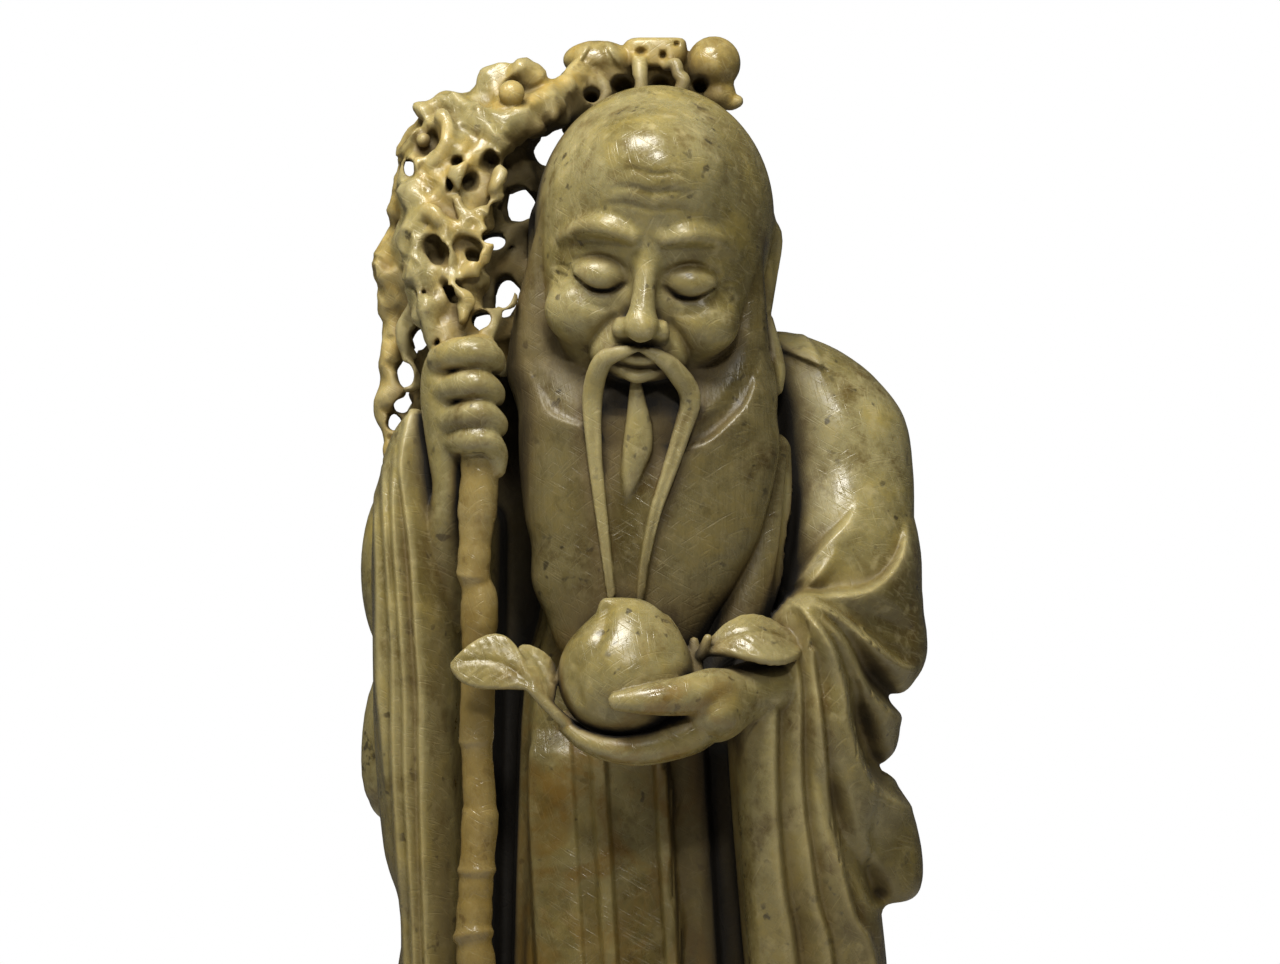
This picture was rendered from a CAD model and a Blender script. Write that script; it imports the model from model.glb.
# %% [markdown]
# Shou lao, the old man of long life, in soapstone.
#
# The real figure is one block of olive green soapstone, carved, drilled and polished by hand. An
# old man leans on a knotted staff. The staff grows into a pierced root that arches over his high
# forehead, and he holds a peach between leaves.
#
# The CAD model gives the same figure as a few thousand flat facets, and that solid stays the frame
# here. Subdivision could smooth the facets, but it would add no folds and no pits. So this lesson
# carves the fine surface again, inside the same box, and then gives it the look of worn, oily,
# slightly see-through stone.

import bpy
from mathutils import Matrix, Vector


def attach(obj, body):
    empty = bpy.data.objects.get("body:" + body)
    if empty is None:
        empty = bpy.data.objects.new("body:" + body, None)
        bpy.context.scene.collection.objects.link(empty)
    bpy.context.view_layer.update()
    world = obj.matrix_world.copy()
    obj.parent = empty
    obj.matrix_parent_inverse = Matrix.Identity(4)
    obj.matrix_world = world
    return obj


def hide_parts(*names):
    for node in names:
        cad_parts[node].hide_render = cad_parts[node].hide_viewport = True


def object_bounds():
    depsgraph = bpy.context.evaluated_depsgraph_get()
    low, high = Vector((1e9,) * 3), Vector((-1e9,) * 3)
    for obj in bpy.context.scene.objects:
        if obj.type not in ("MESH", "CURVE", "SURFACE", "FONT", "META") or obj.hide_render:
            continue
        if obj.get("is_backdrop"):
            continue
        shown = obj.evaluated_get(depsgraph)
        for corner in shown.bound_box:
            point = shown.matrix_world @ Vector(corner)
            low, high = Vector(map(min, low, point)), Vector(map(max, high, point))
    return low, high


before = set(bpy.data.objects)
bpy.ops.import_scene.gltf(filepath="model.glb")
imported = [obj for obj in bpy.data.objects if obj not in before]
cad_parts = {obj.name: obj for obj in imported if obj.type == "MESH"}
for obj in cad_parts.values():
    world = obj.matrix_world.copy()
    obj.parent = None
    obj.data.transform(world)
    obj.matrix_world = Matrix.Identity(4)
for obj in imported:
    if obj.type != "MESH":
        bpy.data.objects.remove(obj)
CAD_BOX = [list(corner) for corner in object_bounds()]
print("CAD box, metres:", CAD_BOX)

# %% [markdown]
# Carving is done in millimetres, because that is how a carver thinks, and the finished mesh is
# scaled to metres once, at the very end. Sizes that belong to one form stand beside that form.

# %% Units and the step of the carving
import math
import time
from concurrent.futures import ThreadPoolExecutor

import bpy
import numpy as np
import openvdb
from mathutils import Euler, Vector

started = time.time()
MM = 0.001
STEP = 0.5  # grid step of the carving, in millimetres
FAR = 40.0  # what a point is told when no form is near it
FINE_REACH = 3.0  # how far off a form is still felt when single points are filled in
print("grid step", STEP, "mm")


# %% [markdown]
# A carved figure has no edges to extrude and no outline to spin. It is a clay-like whole in which
# forms melt into each other. Subdivision modelling could make it, but every fold would be a table
# of points. A signed distance is shorter: each form is a function that says how far a point is from
# its surface, negative inside, and forms are joined with a soft minimum, cut with a soft maximum,
# and pressed up or down by adding a height. The number after an added or a cut form is the width
# of its soft seam.

# %% Joining forms softly
def soft_min(a, b, blend):
    """The nearer of two distances, with a rounded seam where they meet."""
    if blend <= 0:
        return np.minimum(a, b)
    share = np.clip(0.5 + 0.5 * (b - a) / blend, 0.0, 1.0)
    return b + (a - b) * share - blend * share * (1.0 - share)


def ramp(value, start, end):
    """0 before start and 1 after end, with soft ends."""
    t = np.clip((value - start) / (end - start), 0.0, 1.0)
    return t * t * (3.0 - 2.0 * t)


def mix(a, b, share):
    return a + (b - a) * share


class Spots:
    """Points in the block of stone, the box around them, and how far off a form is still felt."""

    def __init__(self, x, y, z, reach=FINE_REACH):
        self.x, self.y, self.z = (np.asarray(v, np.float32) for v in (x, y, z))
        self.low = np.array([self.x.min(), self.y.min(), self.z.min()])
        self.high = np.array([self.x.max(), self.y.max(), self.z.max()])
        self.reach = reach

    def misses(self, low, high, pad):
        return bool((low > self.high + pad).any() or (high < self.low - pad).any())


class Form:
    """A distance function, or a height to press with, and the box outside which it is not felt."""

    def __init__(self, value, low, high):
        self.value = value
        self.low = np.asarray(low, float)
        self.high = np.asarray(high, float)


class Lump(Form):
    """Stone in the making: forms added to it, cut from it or pressed on it, in that order."""

    def __init__(self):
        super().__init__(self.carved, [np.inf] * 3, [-np.inf] * 3)
        self.strokes = []

    def add(self, form, blend=0.0):
        self.low = np.minimum(self.low, form.low)
        self.high = np.maximum(self.high, form.high)
        self.strokes.append(("add", form, blend))

    def cut(self, form, blend=0.0):
        self.strokes.append(("cut", form, blend))

    def press(self, form):
        self.strokes.append(("press", form, 0.0))

    def carved(self, spots):
        d = np.full(spots.x.shape, FAR, np.float32)
        for kind, form, blend in self.strokes:
            pad = 0.0 if kind == "press" else blend + spots.reach
            if spots.misses(form.low, form.high, pad):
                continue
            v = form.value(spots)
            if kind == "add":
                d = soft_min(d, v, blend)
            elif kind == "cut":
                d = -soft_min(-d, v, blend)
            else:
                d = d - v
        return d


def told(name, lump):
    """Print what a lump holds, and hand it on."""
    box = [[round(float(v)) for v in corner] for corner in (lump.low, lump.high)]
    print(name, "of", len(lump.strokes), "strokes in the box", box)
    return lump


# %% [markdown]
# The forms themselves are few. An egg makes heads, cheeks and drilled holes. A strand is a tube
# through a few rows of place and radius, for fingers, legs of stone and locks of hair. Blender's
# metaballs and curves offer the same two, but they cannot be cut or pressed into one whole, so
# both are written as distances.

# %% The egg, the strand and the curve through rows
UPRIGHT = np.eye(3)


def egg(centre, radii, axes=UPRIGHT):
    centre = np.asarray(centre, float)
    radii = np.ones(3) * radii
    half = np.sqrt(((axes.T * radii) ** 2).sum(axis=1))

    def value(s):
        dx, dy, dz = s.x - centre[0], s.y - centre[1], s.z - centre[2]
        a, b, c = ((dx * u[0] + dy * u[1] + dz * u[2]) / r for u, r in zip(axes, radii))
        k0 = np.sqrt(a * a + b * b + c * c)
        k1 = np.sqrt((a / radii[0]) ** 2 + (b / radii[1]) ** 2 + (c / radii[2]) ** 2)
        return k0 * (k0 - 1.0) / (k1 + 1e-6)

    return Form(value, centre - half, centre + half)


def spline(rows, steps):
    """A smooth run of rows through the given rows, whatever they hold."""
    rows = np.asarray(rows, float)
    rows = np.vstack([2 * rows[0] - rows[1], rows, 2 * rows[-1] - rows[-2]])
    out = []
    for a, b, c, d in zip(rows, rows[1:], rows[2:], rows[3:]):
        for t in np.arange(steps) / steps:
            bend = 2 * a - 5 * b + 4 * c - d
            twist = 3 * b - a - 3 * c + d
            out.append(b + 0.5 * ((c - a) * t + bend * t**2 + twist * t**3))
    out.append(rows[-2])
    return np.array(out)


def strand(rows, steps=4, thin=1.0):
    """A round strand through rows of x, y, z, radius, or a flatter one where thin is below 1."""
    run = spline(rows, steps)
    run[:, 3] = np.maximum(run[:, 3], 0.1)
    room = run[:, 3:4] * [[1.0, thin, 1.0]]
    low, high = run[:, :3] - room, run[:, :3] + room
    run[:, 1] /= thin
    pieces = []
    for a, b, l1, l2, h1, h2 in zip(run, run[1:], low, low[1:], high, high[1:]):
        pieces.append((a, b - a, np.minimum(l1, l2), np.maximum(h1, h2)))

    def value(s):
        best = np.full(s.x.shape, FAR, np.float32)
        y = s.y / thin
        for (ax, ay, az, ar), (sx, sy, sz, sr), piece_low, piece_high in pieces:
            if s.misses(piece_low, piece_high, s.reach + 6.0):
                continue
            px, py, pz = s.x - ax, y - ay, s.z - az
            t = (px * sx + py * sy + pz * sz) / (sx * sx + sy * sy + sz * sz + 1e-9)
            t = np.clip(t, 0.0, 1.0)
            dx, dy, dz = px - t * sx, py - t * sy, pz - t * sz
            best = np.minimum(best, np.sqrt(dx * dx + dy * dy + dz * dz) - ar - t * sr)
        return best * math.sqrt(thin)

    return Form(value, low.min(axis=0), high.max(axis=0))


def through(keys, values):
    """A smooth value between given values, one for each key."""
    keys, values = np.asarray(keys, float), np.asarray(values, float)
    before = np.maximum(np.arange(len(keys)) - 1, 0)
    after = np.minimum(np.arange(len(keys)) + 1, len(keys) - 1)
    slope = (values[after] - values[before]) / (keys[after] - keys[before])

    def at(key):
        key = np.clip(key, keys[0], keys[-1])
        i = np.clip(np.searchsorted(keys, key, side="right") - 1, 0, len(keys) - 2)
        h = keys[i + 1] - keys[i]
        t = (key - keys[i]) / h
        u = 1.0 - t
        start = values[i] * u * u * (1 + 2 * t) + slope[i] * h * t * u * u
        end = values[i + 1] * t * t * (3 - 2 * t) - slope[i + 1] * h * t * t * u
        return (start + end).astype(np.float32)

    return at


print("a curve of 3 rows gets", len(spline(np.eye(3), 4)), "rows")


# %% [markdown]
# The robe and the sleeves are upright forms whose section swells and narrows. A loft has a rounded
# section at each height, between an ellipse and a rectangle, which suits cloth better than stacked
# eggs. A leaf is a thin blade between two bent surfaces, with a rib and veins pressed into it.

# %% The loft and the leaf
def loft(rows, corner, cap):
    """A closed form of rows of z, x, y, half width, half depth, with rounded ends."""
    table = np.asarray(rows, float)
    keys = table[:, 0]
    cx, cy, wide, deep = (through(keys, table[:, i]) for i in (1, 2, 3, 4))

    def value(s):
        level = np.clip(s.z, keys[0], keys[-1])
        dx, dy = np.abs(s.x - cx(level)), np.abs(s.y - cy(level))
        a, b = wide(level), deep(level)
        rho = ((dx / a) ** corner + (dy / b) ** corner) ** (1.0 / corner) + 1e-6
        across = np.sqrt(dx * dx + dy * dy) * (1.0 - 1.0 / rho)
        across = np.where(rho < 0.05, -np.minimum(a, b), across)
        beyond = np.maximum(keys[0] - s.z, s.z - keys[-1])
        return -soft_min(-across, -beyond, cap)

    low = [(table[:, 1] - table[:, 3]).min(), (table[:, 2] - table[:, 4]).min(), keys[0]]
    high = [(table[:, 1] + table[:, 3]).max(), (table[:, 2] + table[:, 4]).max(), keys[-1]]
    return Form(value, low, high)


def leaf(stalk, tip, facing, width, bend, cup, thick, sweep=0.0):
    """A thin leaf that arches by bend and curves to one side by sweep, and whose sides droop by
    cup. A rib and veins mark it."""
    stalk, tip = Vector(stalk), Vector(tip)
    along = (tip - stalk).normalized()
    up = Vector(facing)
    up = (up - along * up.dot(along)).normalized()
    across = up.cross(along)
    length = (tip - stalk).length
    middle = np.array((stalk + tip) / 2)
    half = length / 2 + width / 2

    def value(s):
        dx, dy, dz = s.x - stalk.x, s.y - stalk.y, s.z - stalk.z
        run = dx * along.x + dy * along.y + dz * along.z
        side = dx * across.x + dy * across.y + dz * across.z
        height = dx * up.x + dy * up.y + dz * up.z
        share = np.clip(run / length, 0.0, 1.0)
        side = side - sweep * length * np.sin(math.pi * share)
        blade = width * np.maximum(np.sin(math.pi * share**1.35), 0.0) ** 0.75
        arch = bend * length * np.sin(math.pi * share) - cup * side * side
        rib = 0.5 * np.exp(-((side / 0.8) ** 2))
        veins = 0.14 * np.sin((run - np.abs(side) * 0.9) * 2.6) * ramp(np.abs(side), 0.6, 2.0)
        edge = np.maximum(np.abs(side) - blade, np.maximum(-run, run - length)) * 0.8
        skin = (np.abs(height - arch + rib - veins) - thick) * 0.85
        return -soft_min(-edge, -skin, 0.8)

    return Form(value, middle - half, middle + half)


print("forms: egg, strand, loft and leaf")


# %% [markdown]
# Drapery is relief. A carver draws a line and lowers the stone on one side of it, so the fold is
# crisp on that side and fades out on the other. Cloth simulation makes soft folds that fall where
# they like, but these folds are drawn by a carver. So each is a height pressed along a drawn line.
# The face's fine lines, the hollows between folds and the steps of the pleats are pressed alike.

# %% Folds, creases and pleats
STRAIGHT_SHARE = 0.35  # how much of a fold's slope falls off at once, and not in a soft curve
PLEAT_STEP = 1.1  # how wide the step from one pleat to the next is
HEM_FADE = 8.0  # over which pleats fade out at their ends


def nearest_on_line(run, u, v):
    """Squared distance to a drawn line, the side of it and the strength there."""
    best = np.full(u.shape, FAR * FAR, np.float32)
    side = np.zeros_like(best)
    strength = np.zeros_like(best)
    for a, b in zip(run, run[1:]):
        su, sv, ss = b - a
        t = np.clip(((u - a[0]) * su + (v - a[1]) * sv) / (su * su + sv * sv + 1e-9), 0.0, 1.0)
        du, dv = u - a[0] - t * su, v - a[1] - t * sv
        d2 = du * du + dv * dv
        nearer = d2 < best
        best = np.where(nearer, d2, best)
        side = np.where(nearer, np.sign(su * dv - sv * du), side)
        strength = np.where(nearer, a[2] + t * ss, strength)
    return best, side, np.maximum(strength, 0.0)


def fold(rows, height, soft, sharp=1.2, groove=0.0, raised=1, near=-80.0, far=0.0, fade=8.0):
    """A fold along rows of x, z, strength, on the front (or the back) of the stone.

    It rises on one side of the line and falls off sharply on the other, into a groove.
    """
    run = spline(rows, 4)
    wide = max(soft, 4 * sharp if groove else sharp)

    def value(s):
        best, side, strength = nearest_on_line(run, s.x, s.z)
        d = np.sqrt(best)
        curve = 1.0 - ramp(d, 0.0, soft)
        slope = mix(curve, np.clip(1.0 - d / soft, 0.0, 1.0) ** 1.5, STRAIGHT_SHARE)
        cliff = 1.0 - ramp(d, 0.0, sharp) - groove * np.exp(-(((d - 1.5 * sharp) / sharp) ** 2))
        rise = np.where(side * raised >= 0, slope, cliff)
        return height * strength * rise * ramp(np.minimum(s.y - near, far - s.y), 0.0, fade)

    low = [run[:, 0].min() - wide, near, run[:, 1].min() - wide]
    high = [run[:, 0].max() + wide, far, run[:, 1].max() + wide]
    return Form(value, low, high)


def pleats(lines, lean, level, low, high, front, back):
    """Steps in the depth of the cloth at rows of x, height, as flat pressed pleats have."""

    def value(s):
        x = s.x - (level - s.z) * lean
        height = sum(step * ramp(x, at - PLEAT_STEP / 2, at + PLEAT_STEP / 2) for at, step in lines)
        ends = ramp(np.minimum(high[2] - s.z, s.z - low[2]), 0.0, HEM_FADE)
        return height * ramp(front - s.y, 0.0, front - back) * ends

    return Form(value, low, high)


def weave_of(x, y, z, size):
    """A wavy three-way web, between about -1 and 1, that repeats at the given size."""
    a, b, c = (v * (2 * math.pi / size) for v in (x, y, z))
    return np.sin(a) * np.cos(b) + np.sin(b) * np.cos(c) + np.sin(c) * np.cos(a)


print("reliefs: fold, pleats and web")


# %% [markdown]
# The robe comes first, because everything else sits on it. It is broad below, bent at the back,
# and its skirt hangs in flat pressed pleats. The dark gaps beside the beard and behind the staff
# are cut in early, as a carver bores them before the finer work. A painted dark line would do from
# the front, but a real gap also holds its shade from the side.

# %% The robe and the shoes
def bore(stone, rows, backs, thinner, blend, lean=0.0):
    """Bore one gap again and again, each time further back, a little thinner and more to one side."""
    for back in backs:
        gap = [[x - lean * back, y + back, z, r - thinner * back] for x, y, z, r in rows]
        stone.cut(strand(gap), blend)


def robe():
    cloth = Lump()
    cloth.add(loft([
        [17, 0, -1, 55, 38], [40, 0, 0, 51, 35], [80, 0, 2, 47, 32], [120, 0, 4, 45, 31],
        [160, 0, 6, 46, 30], [200, 1, 8, 50, 29], [230, 2, 10, 50, 28], [252, 4, 9, 45, 26],
        [266, 4, 4, 36, 22], [278, 4, -4, 22, 18],
    ], 2.3, 4))
    cloth.add(egg([0, 16, 238], [46, 26, 34]), 12)
    cloth.add(egg([-44, 6, 244], [19, 18, 24]), 12)
    cloth.add(loft([
        [176, 4, -14, 14, 12], [200, 5, -15, 17, 13], [225, 7, -15, 20, 14], [250, 6, -13, 24, 15],
        [272, 3, -10, 22, 14],
    ], 2.2, 8), 6)
    steps = [(-28.5, 4), (-16.5, -1.2), (-12, 1.6), (-8.3, -2.2), (3.3, 1.8), (6.8, -6.5), (16.5, -2.5)]
    cloth.press(pleats(steps, 0.06, 150, [-34, -60, 24], [34, 4, 180], 4, -8))
    for top, hem in [(-34, -46), (-18, -24), (-2, 0), (15, 22), (32, 44)]:
        line = [[top * 0.8, 236, 0], [top, 190, 1], [(top + hem) / 2, 110, 1], [hem, 24, 1]]
        cloth.press(fold(line, height=2.6, soft=11, sharp=3, near=6, far=60))
    gap = [[-32.5, -26, 262, 6.4], [-31, -25, 240, 8.4], [-30, -25, 212, 8.4], [-32, -27, 190, 6],
           [-32.8, -29, 150, 5.4], [-33.6, -30, 100, 5], [-36, -36, 50, 3.6]]
    bore(cloth, gap, backs=(0, 9, 18, 26), thinner=0.05, blend=2, lean=0.1)
    cloth.cut(strand([[33.5, -27, 258, 1.6], [35, -27, 242, 2.8], [34, -29, 226, 3],
                      [31.5, -32, 212, 2.4]]), 1.5)
    return cloth


def shoes():
    pair = Lump()
    for side in (-1, 1):
        pair.add(strand([[15 * side, -20, 20, 8], [16 * side, -34, 20, 7.5], [17 * side, -43, 21, 6]]), 2)
        pair.add(egg([17 * side, -44, 25], [5.5, 3.5, 4.5]), 2)
    return pair


ROBE = told("robe", robe())
SHOES = told("shoes", shoes())


# %% [markdown]
# The sleeve over the staff arm hangs straight, with narrow pleats down its front and scallops at
# its back edge. It could be a bent sheet with thickness, but the real one is solid stone with
# relief on it, so it is two lofts side by side, lumps for the scallops and one pressed fold a pleat.

# %% The sleeve over the staff arm
def staff_sleeve():
    cloth = Lump()
    cloth.add(loft([
        [74, -51, -12, 9, 18], [92, -52, -14, 9.5, 21], [119, -52, -16, 8.4, 22],
        [135, -52, -16.5, 8.2, 22.5], [150, -54.4, -17, 9.6, 23], [180, -56, -18, 10.5, 22],
        [205, -56.5, -19, 10.5, 21], [225, -57.5, -20, 9.5, 19], [240, -57.5, -23, 7.5, 15],
        [250, -57, -27, 5, 10], [257, -55.5, -31, 2.2, 4],
    ], 2.6, 3))
    cloth.add(loft([[66, -46, 4, 9, 18], [150, -47, 5, 11, 18], [235, -47, 7, 12, 18]], 2.3, 8), 8)
    cloth.add(egg([-60.5, 0, 217.5], [10.5, 13, 24]), 1.5)
    cloth.add(strand([[-56, 1, 196, 5], [-60.5, 1, 187, 8], [-62.3, 0, 173, 8.6], [-61.3, 0, 162, 8],
                      [-55, 2, 154, 5]]), 1.5)
    cloth.add(strand([[-52, 0, 157, 6], [-55.4, -1, 147, 6.2], [-53, -1, 139, 5]]), 1.5)
    cloth.add(strand([[-52, -8, 128, 6], [-54.6, -8, 108, 7.5], [-53, -8, 86, 6]]), 4)
    edges = [
        [(-57.5, 255, 0.5), (-59, 244.1, 1), (-58.1, 236.2, 1), (-56.7, 224.6, 1), (-55.8, 213.1, 1),
         (-55.1, 201.6, 1), (-54.2, 187, 1), (-54.2, 174.7, 1), (-53.5, 148, 1), (-52.7, 123, 1),
         (-51, 84, 0.6)],
        [(-60, 248, 0.3), (-60.8, 238, 1), (-60.3, 224, 1), (-59.3, 210.6, 1), (-57.9, 187, 1),
         (-57.8, 170, 1), (-56.7, 147.6, 1), (-55.7, 122.4, 1), (-54, 84, 0.5)],
        [(-63.5, 243, 0.3), (-63, 232, 1), (-62.1, 217.5, 1), (-61, 198, 1), (-60.8, 174, 1),
         (-59.6, 147.3, 1), (-58.3, 122, 1), (-57, 84, 0.5)],
        [(-66, 238, 0.2), (-65.4, 228, 1), (-65, 212.8, 1), (-65.2, 193.9, 1), (-63.5, 176, 0.8),
         (-61.5, 154, 0)],
    ]
    for line in edges:
        cloth.press(fold(line, height=2.1, soft=4.6, sharp=0.9, groove=0.15, far=-4))
    cuff = [[-53, 256, 0], [-50.5, 246, 1], [-48, 236, 1], [-47, 226, 0.3]]
    cloth.press(fold(cuff, height=1.4, soft=5, sharp=1, raised=-1, far=-24))
    return cloth


STAFF_SLEEVE = told("staff sleeve", staff_sleeve())


# %% [markdown]
# The other sleeve swings from the wrist: its folds run like spokes from the hand to corners that
# hang one above the other, and three long pleats fall below them. One big cone with a pattern would
# be quick, but its folds would all be alike. So each corner is a lump of its own, each fold has its
# own line, height and softness, and shallow hollows are pressed in between.

# %% The sleeve over the peach arm
def peach_sleeve():
    cloth = Lump()
    cloth.add(loft([
        [184, 45, -8, 12, 17], [194, 49, -8, 18, 20], [208, 50, -8, 19, 21],
        [225, 49, -6, 18, 20], [242, 48.5, -3, 18.3, 18], [256, 46.5, -1, 18, 18],
        [266, 41.5, 0, 15.5, 16], [272, 36.5, 0, 12.5, 13], [277, 31, 0, 8, 9],
    ], 2.2, 5))
    cloth.add(strand([[52, -14, 204, 13], [45, -25, 201, 12.5], [38, -35, 198, 10],
                      [32, -41, 194.5, 7.5]]), 5)
    cloth.add(loft([
        [76, 44, -14, 11, 15], [92, 44, -16, 15, 19], [119, 42, -18, 17, 20.5],
        [140, 40, -20, 17, 21.5], [165, 37.5, -22, 16.5, 22], [185, 36, -25, 15.5, 22.5],
        [197, 37, -26, 13, 18],
    ], 2.7, 3), 3)
    cloth.add(loft([[92, 33, -26, 6, 14], [140, 30, -30, 6.5, 15], [175, 27.5, -33, 6.5, 15.5],
                    [191, 27, -34, 6.4, 15], [197, 28, -34, 5, 11]], 2.7, 2.5), 3)
    cloth.add(egg([57, -9, 198], [12.4, 15, 12.2]), 4)
    cloth.add(egg([51.6, -13, 177.8], [11, 15, 11.4]), 6)
    cloth.add(egg([51.5, -16, 184], [9, 13, 9]), 6)
    cloth.add(loft([
        [136, 56, -10, 11.5, 13], [143, 55, -10, 13.8, 15], [152, 53, -11, 14.8, 16],
        [162, 50, -13, 14.6, 16], [173, 46, -15, 12, 14],
    ], 2.1, 4), 4)
    cloth.add(strand([[49.5, -12, 130, 8], [51, -12, 108, 8.6], [50, -12, 86, 7]]), 4)
    swings = [
        ([[34.4, 211.9, 0.3], [37.3, 215.7, 0.9], [41.1, 220.6, 1], [44.9, 225.1, 0.9],
          [49, 229, 0.6], [53, 235, 0]], 3.6, 10, 0.1),
        ([[36.5, 210.5, 0.2], [39.5, 214, 0.6], [43.6, 219, 0.7], [48, 224, 0]], 1.4, 4, 0.1),
        ([[34.4, 210.1, 0.3], [37.3, 211.6, 0.9], [42.9, 211.8, 1], [52, 212.6, 1],
          [56.6, 214.4, 1], [60.6, 218, 0.9], [63.5, 223, 0.6], [65, 231, 0]], 4.6, 10, 0.1),
        ([[35.8, 210.1, 0.2], [40.4, 210.1, 0.7], [44.4, 208.3, 1], [49, 204.9, 1],
          [54.3, 200.9, 1], [59.4, 196.6, 0.9], [63.4, 194.2, 0.6], [67.5, 193, 0]], 5, 10, 0.3),
        ([[38.8, 209, 0.2], [44.9, 203.8, 0.9], [49, 197.8, 1], [52.6, 191.5, 1], [57, 186, 1],
          [60.5, 183, 0.7], [64, 181, 0]], 4.4, 9, 0.3),
        ([[37.1, 209, 0.2], [41.1, 204.5, 0.8], [44.1, 199.7, 1], [46, 195.1, 1], [47.5, 189.5, 1],
          [48.8, 181.9, 1], [50.8, 174.8, 1], [53.8, 168, 1], [57.3, 163.8, 0.9],
          [62, 161, 0.5], [66, 158, 0]], 4.6, 12, 0.3),
    ]
    for line, height, soft, groove in swings:
        cloth.press(fold(line, height=height, soft=soft, sharp=1.9, groove=groove, raised=-1, far=8,
                         fade=10))
    panels = [
        [[30.2, 199, 0.6], [31, 189.8, 1], [31, 168.9, 1], [31.7, 154.9, 1], [33.1, 140.9, 1],
         [36, 125.1, 1], [40, 84, 0.6]],
        [[35.4, 199, 0.6], [36.8, 189.6, 1], [37, 173.2, 1], [37.7, 161.7, 1], [39.4, 149.8, 1],
         [41.2, 138.3, 1], [44.7, 124.6, 1], [48, 86, 0.6]],
        [[39.6, 199, 0.5], [41.6, 184.7, 1], [42.8, 172.9, 1], [44.2, 161.3, 1], [46.5, 149.5, 1],
         [50.3, 135.4, 1], [54.1, 129, 1], [56.4, 118, 1], [57, 92, 0.6]],
    ]
    for line in panels:
        cloth.press(fold(line, height=2.6, soft=6.5, sharp=1.1, groove=0.15, raised=-1, far=-8))
    hollows = [
        [[43, 172, 0], [44.6, 166, 0.8], [47, 156, 1], [51, 148.4, 1], [56.4, 139.4, 0.8]],
        [[46, 203.6, 0], [50.6, 198.4, 0.3], [57.2, 190.8, 0.5], [62.6, 184.4, 0.3]],
        [[49, 192, 0], [52, 184, 0.2], [54.4, 176, 0.6], [58.8, 169, 0.5]],
        [[46, 212, 0], [54, 208.6, 0.5], [62, 203.6, 0.6], [66, 200, 0.2]],
    ]
    for line in hollows:
        cloth.press(fold(line, height=-3.2, soft=5, sharp=4))
    collar = [[33, 272.6, 0.6], [37.8, 270.6, 1], [42.8, 268.4, 1]]
    cloth.press(fold(collar, height=1.6, soft=5, sharp=0.7, far=16))
    seam = [[40.5, 275, 0.8], [42.4, 271.4, 1], [43.4, 268.4, 0.6]]
    cloth.press(fold(seam, height=1.4, soft=4, sharp=0.6, raised=-1, far=20))
    return cloth


PEACH_SLEEVE = told("peach sleeve", peach_sleeve())


# %% [markdown]
# The head is bowed a little to the front and leans to one side. Its points could be written where
# they end up, but then no left side would mirror a right one. So the head has a frame of its own:
# all its forms are written for an upright head, and turned together.

# %% The head's own frame
class HeadFrame:
    centre = np.array([1.0, -23.0, 299.4])
    axes = np.array(Euler((math.radians(17), math.radians(5), 0)).to_matrix()).T

    def place(self, row):
        x, y, z, *rest = row
        return [*(self.centre + np.array([x, y, z]) @ self.axes), *rest]

    def egg(self, spot, radii):
        return egg(self.place(spot), radii, self.axes)

    def strand(self, rows, thin=1.0):
        return strand([self.place(row) for row in rows], thin=thin)

    def crease(self, rows, depth, width):
        """A fine line pressed into the face along rows of x, z, strength, whatever its depth."""
        run = spline(rows, 4)
        corners = [self.place([x, y, z]) for x in (run[:, 0].min() - 3, run[:, 0].max() + 3)
                   for y in (-44, -16) for z in (run[:, 1].min() - 3, run[:, 1].max() + 3)]

        def value(s):
            x, y, z = s.x - self.centre[0], s.y - self.centre[1], s.z - self.centre[2]
            across, _, up = (x * u[0] + y * u[1] + z * u[2] for u in self.axes)
            best, _, strength = nearest_on_line(run, across, up)
            return -depth * strength * np.exp(-best / (width * width))

        return Form(value, np.min(corners, axis=0), np.max(corners, axis=0))


HEAD = HeadFrame()
print("the head's middle is at", HEAD.centre)


# %% [markdown]
# The face is a general one, made on a drawing book's proportions: the eyes halfway down the head,
# and the lines from brow to nose and from nose to chin of one length. It is calm, with closed eyes,
# and old by its long ears, its lined forehead and the set of its cheeks. A sculpt brush would be
# the usual tool. Eggs, strands and pressed lines do the same with places that can be read.

# %% The face
def face(skull):
    for side in (-1, 1):
        skull.cut(HEAD.egg([10.8 * side, -33.5, -3], [8.5, 6, 5]), 4)
        skull.add(HEAD.egg([15 * side, -23, -14], [8.5, 7.5, 8]), 4)
        skull.add(HEAD.strand([[20.5 * side, -20, 3, 1.2], [15.5 * side, -25.8, 7.4, 2.1],
                               [9.5 * side, -29.6, 8.8, 2.4], [4 * side, -30.6, 7.2, 1.5]]), 2.4)
        skull.add(HEAD.egg([10.8 * side, -25.6, -3.6], [6.6, 5.4, 4.6]), 1.2)
    skull.add(HEAD.strand([[0, -28, 4, 2], [0, -31.5, -4, 2.5], [0, -35, -12, 3.4]]), 2.5)
    skull.add(HEAD.egg([0, -35.6, -13.4], [4, 4.3, 3.7]), 2)
    for side in (-1, 1):
        skull.add(HEAD.egg([4.6 * side, -32.8, -14.4], [2.8, 3.2, 2.5]), 1.2)
        skull.cut(HEAD.egg([2.2 * side, -36, -17], [1.2, 1.5, 1]), 0.8)
    skull.add(HEAD.egg([0, -27.5, -22], [12, 6.5, 7]), 3)
    skull.add(HEAD.strand([[-6.6, -30.2, -21.6, 0.7], [-2.6, -33, -22, 1.3], [0, -33.3, -22.4, 1.1],
                           [2.6, -33, -22, 1.3], [6.6, -30.2, -21.6, 0.7]]), 1)
    skull.add(HEAD.strand([[-5.2, -31, -25, 0.9], [0, -32.8, -26.4, 1.7], [5.2, -31, -25, 0.9]]), 1.2)


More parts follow.
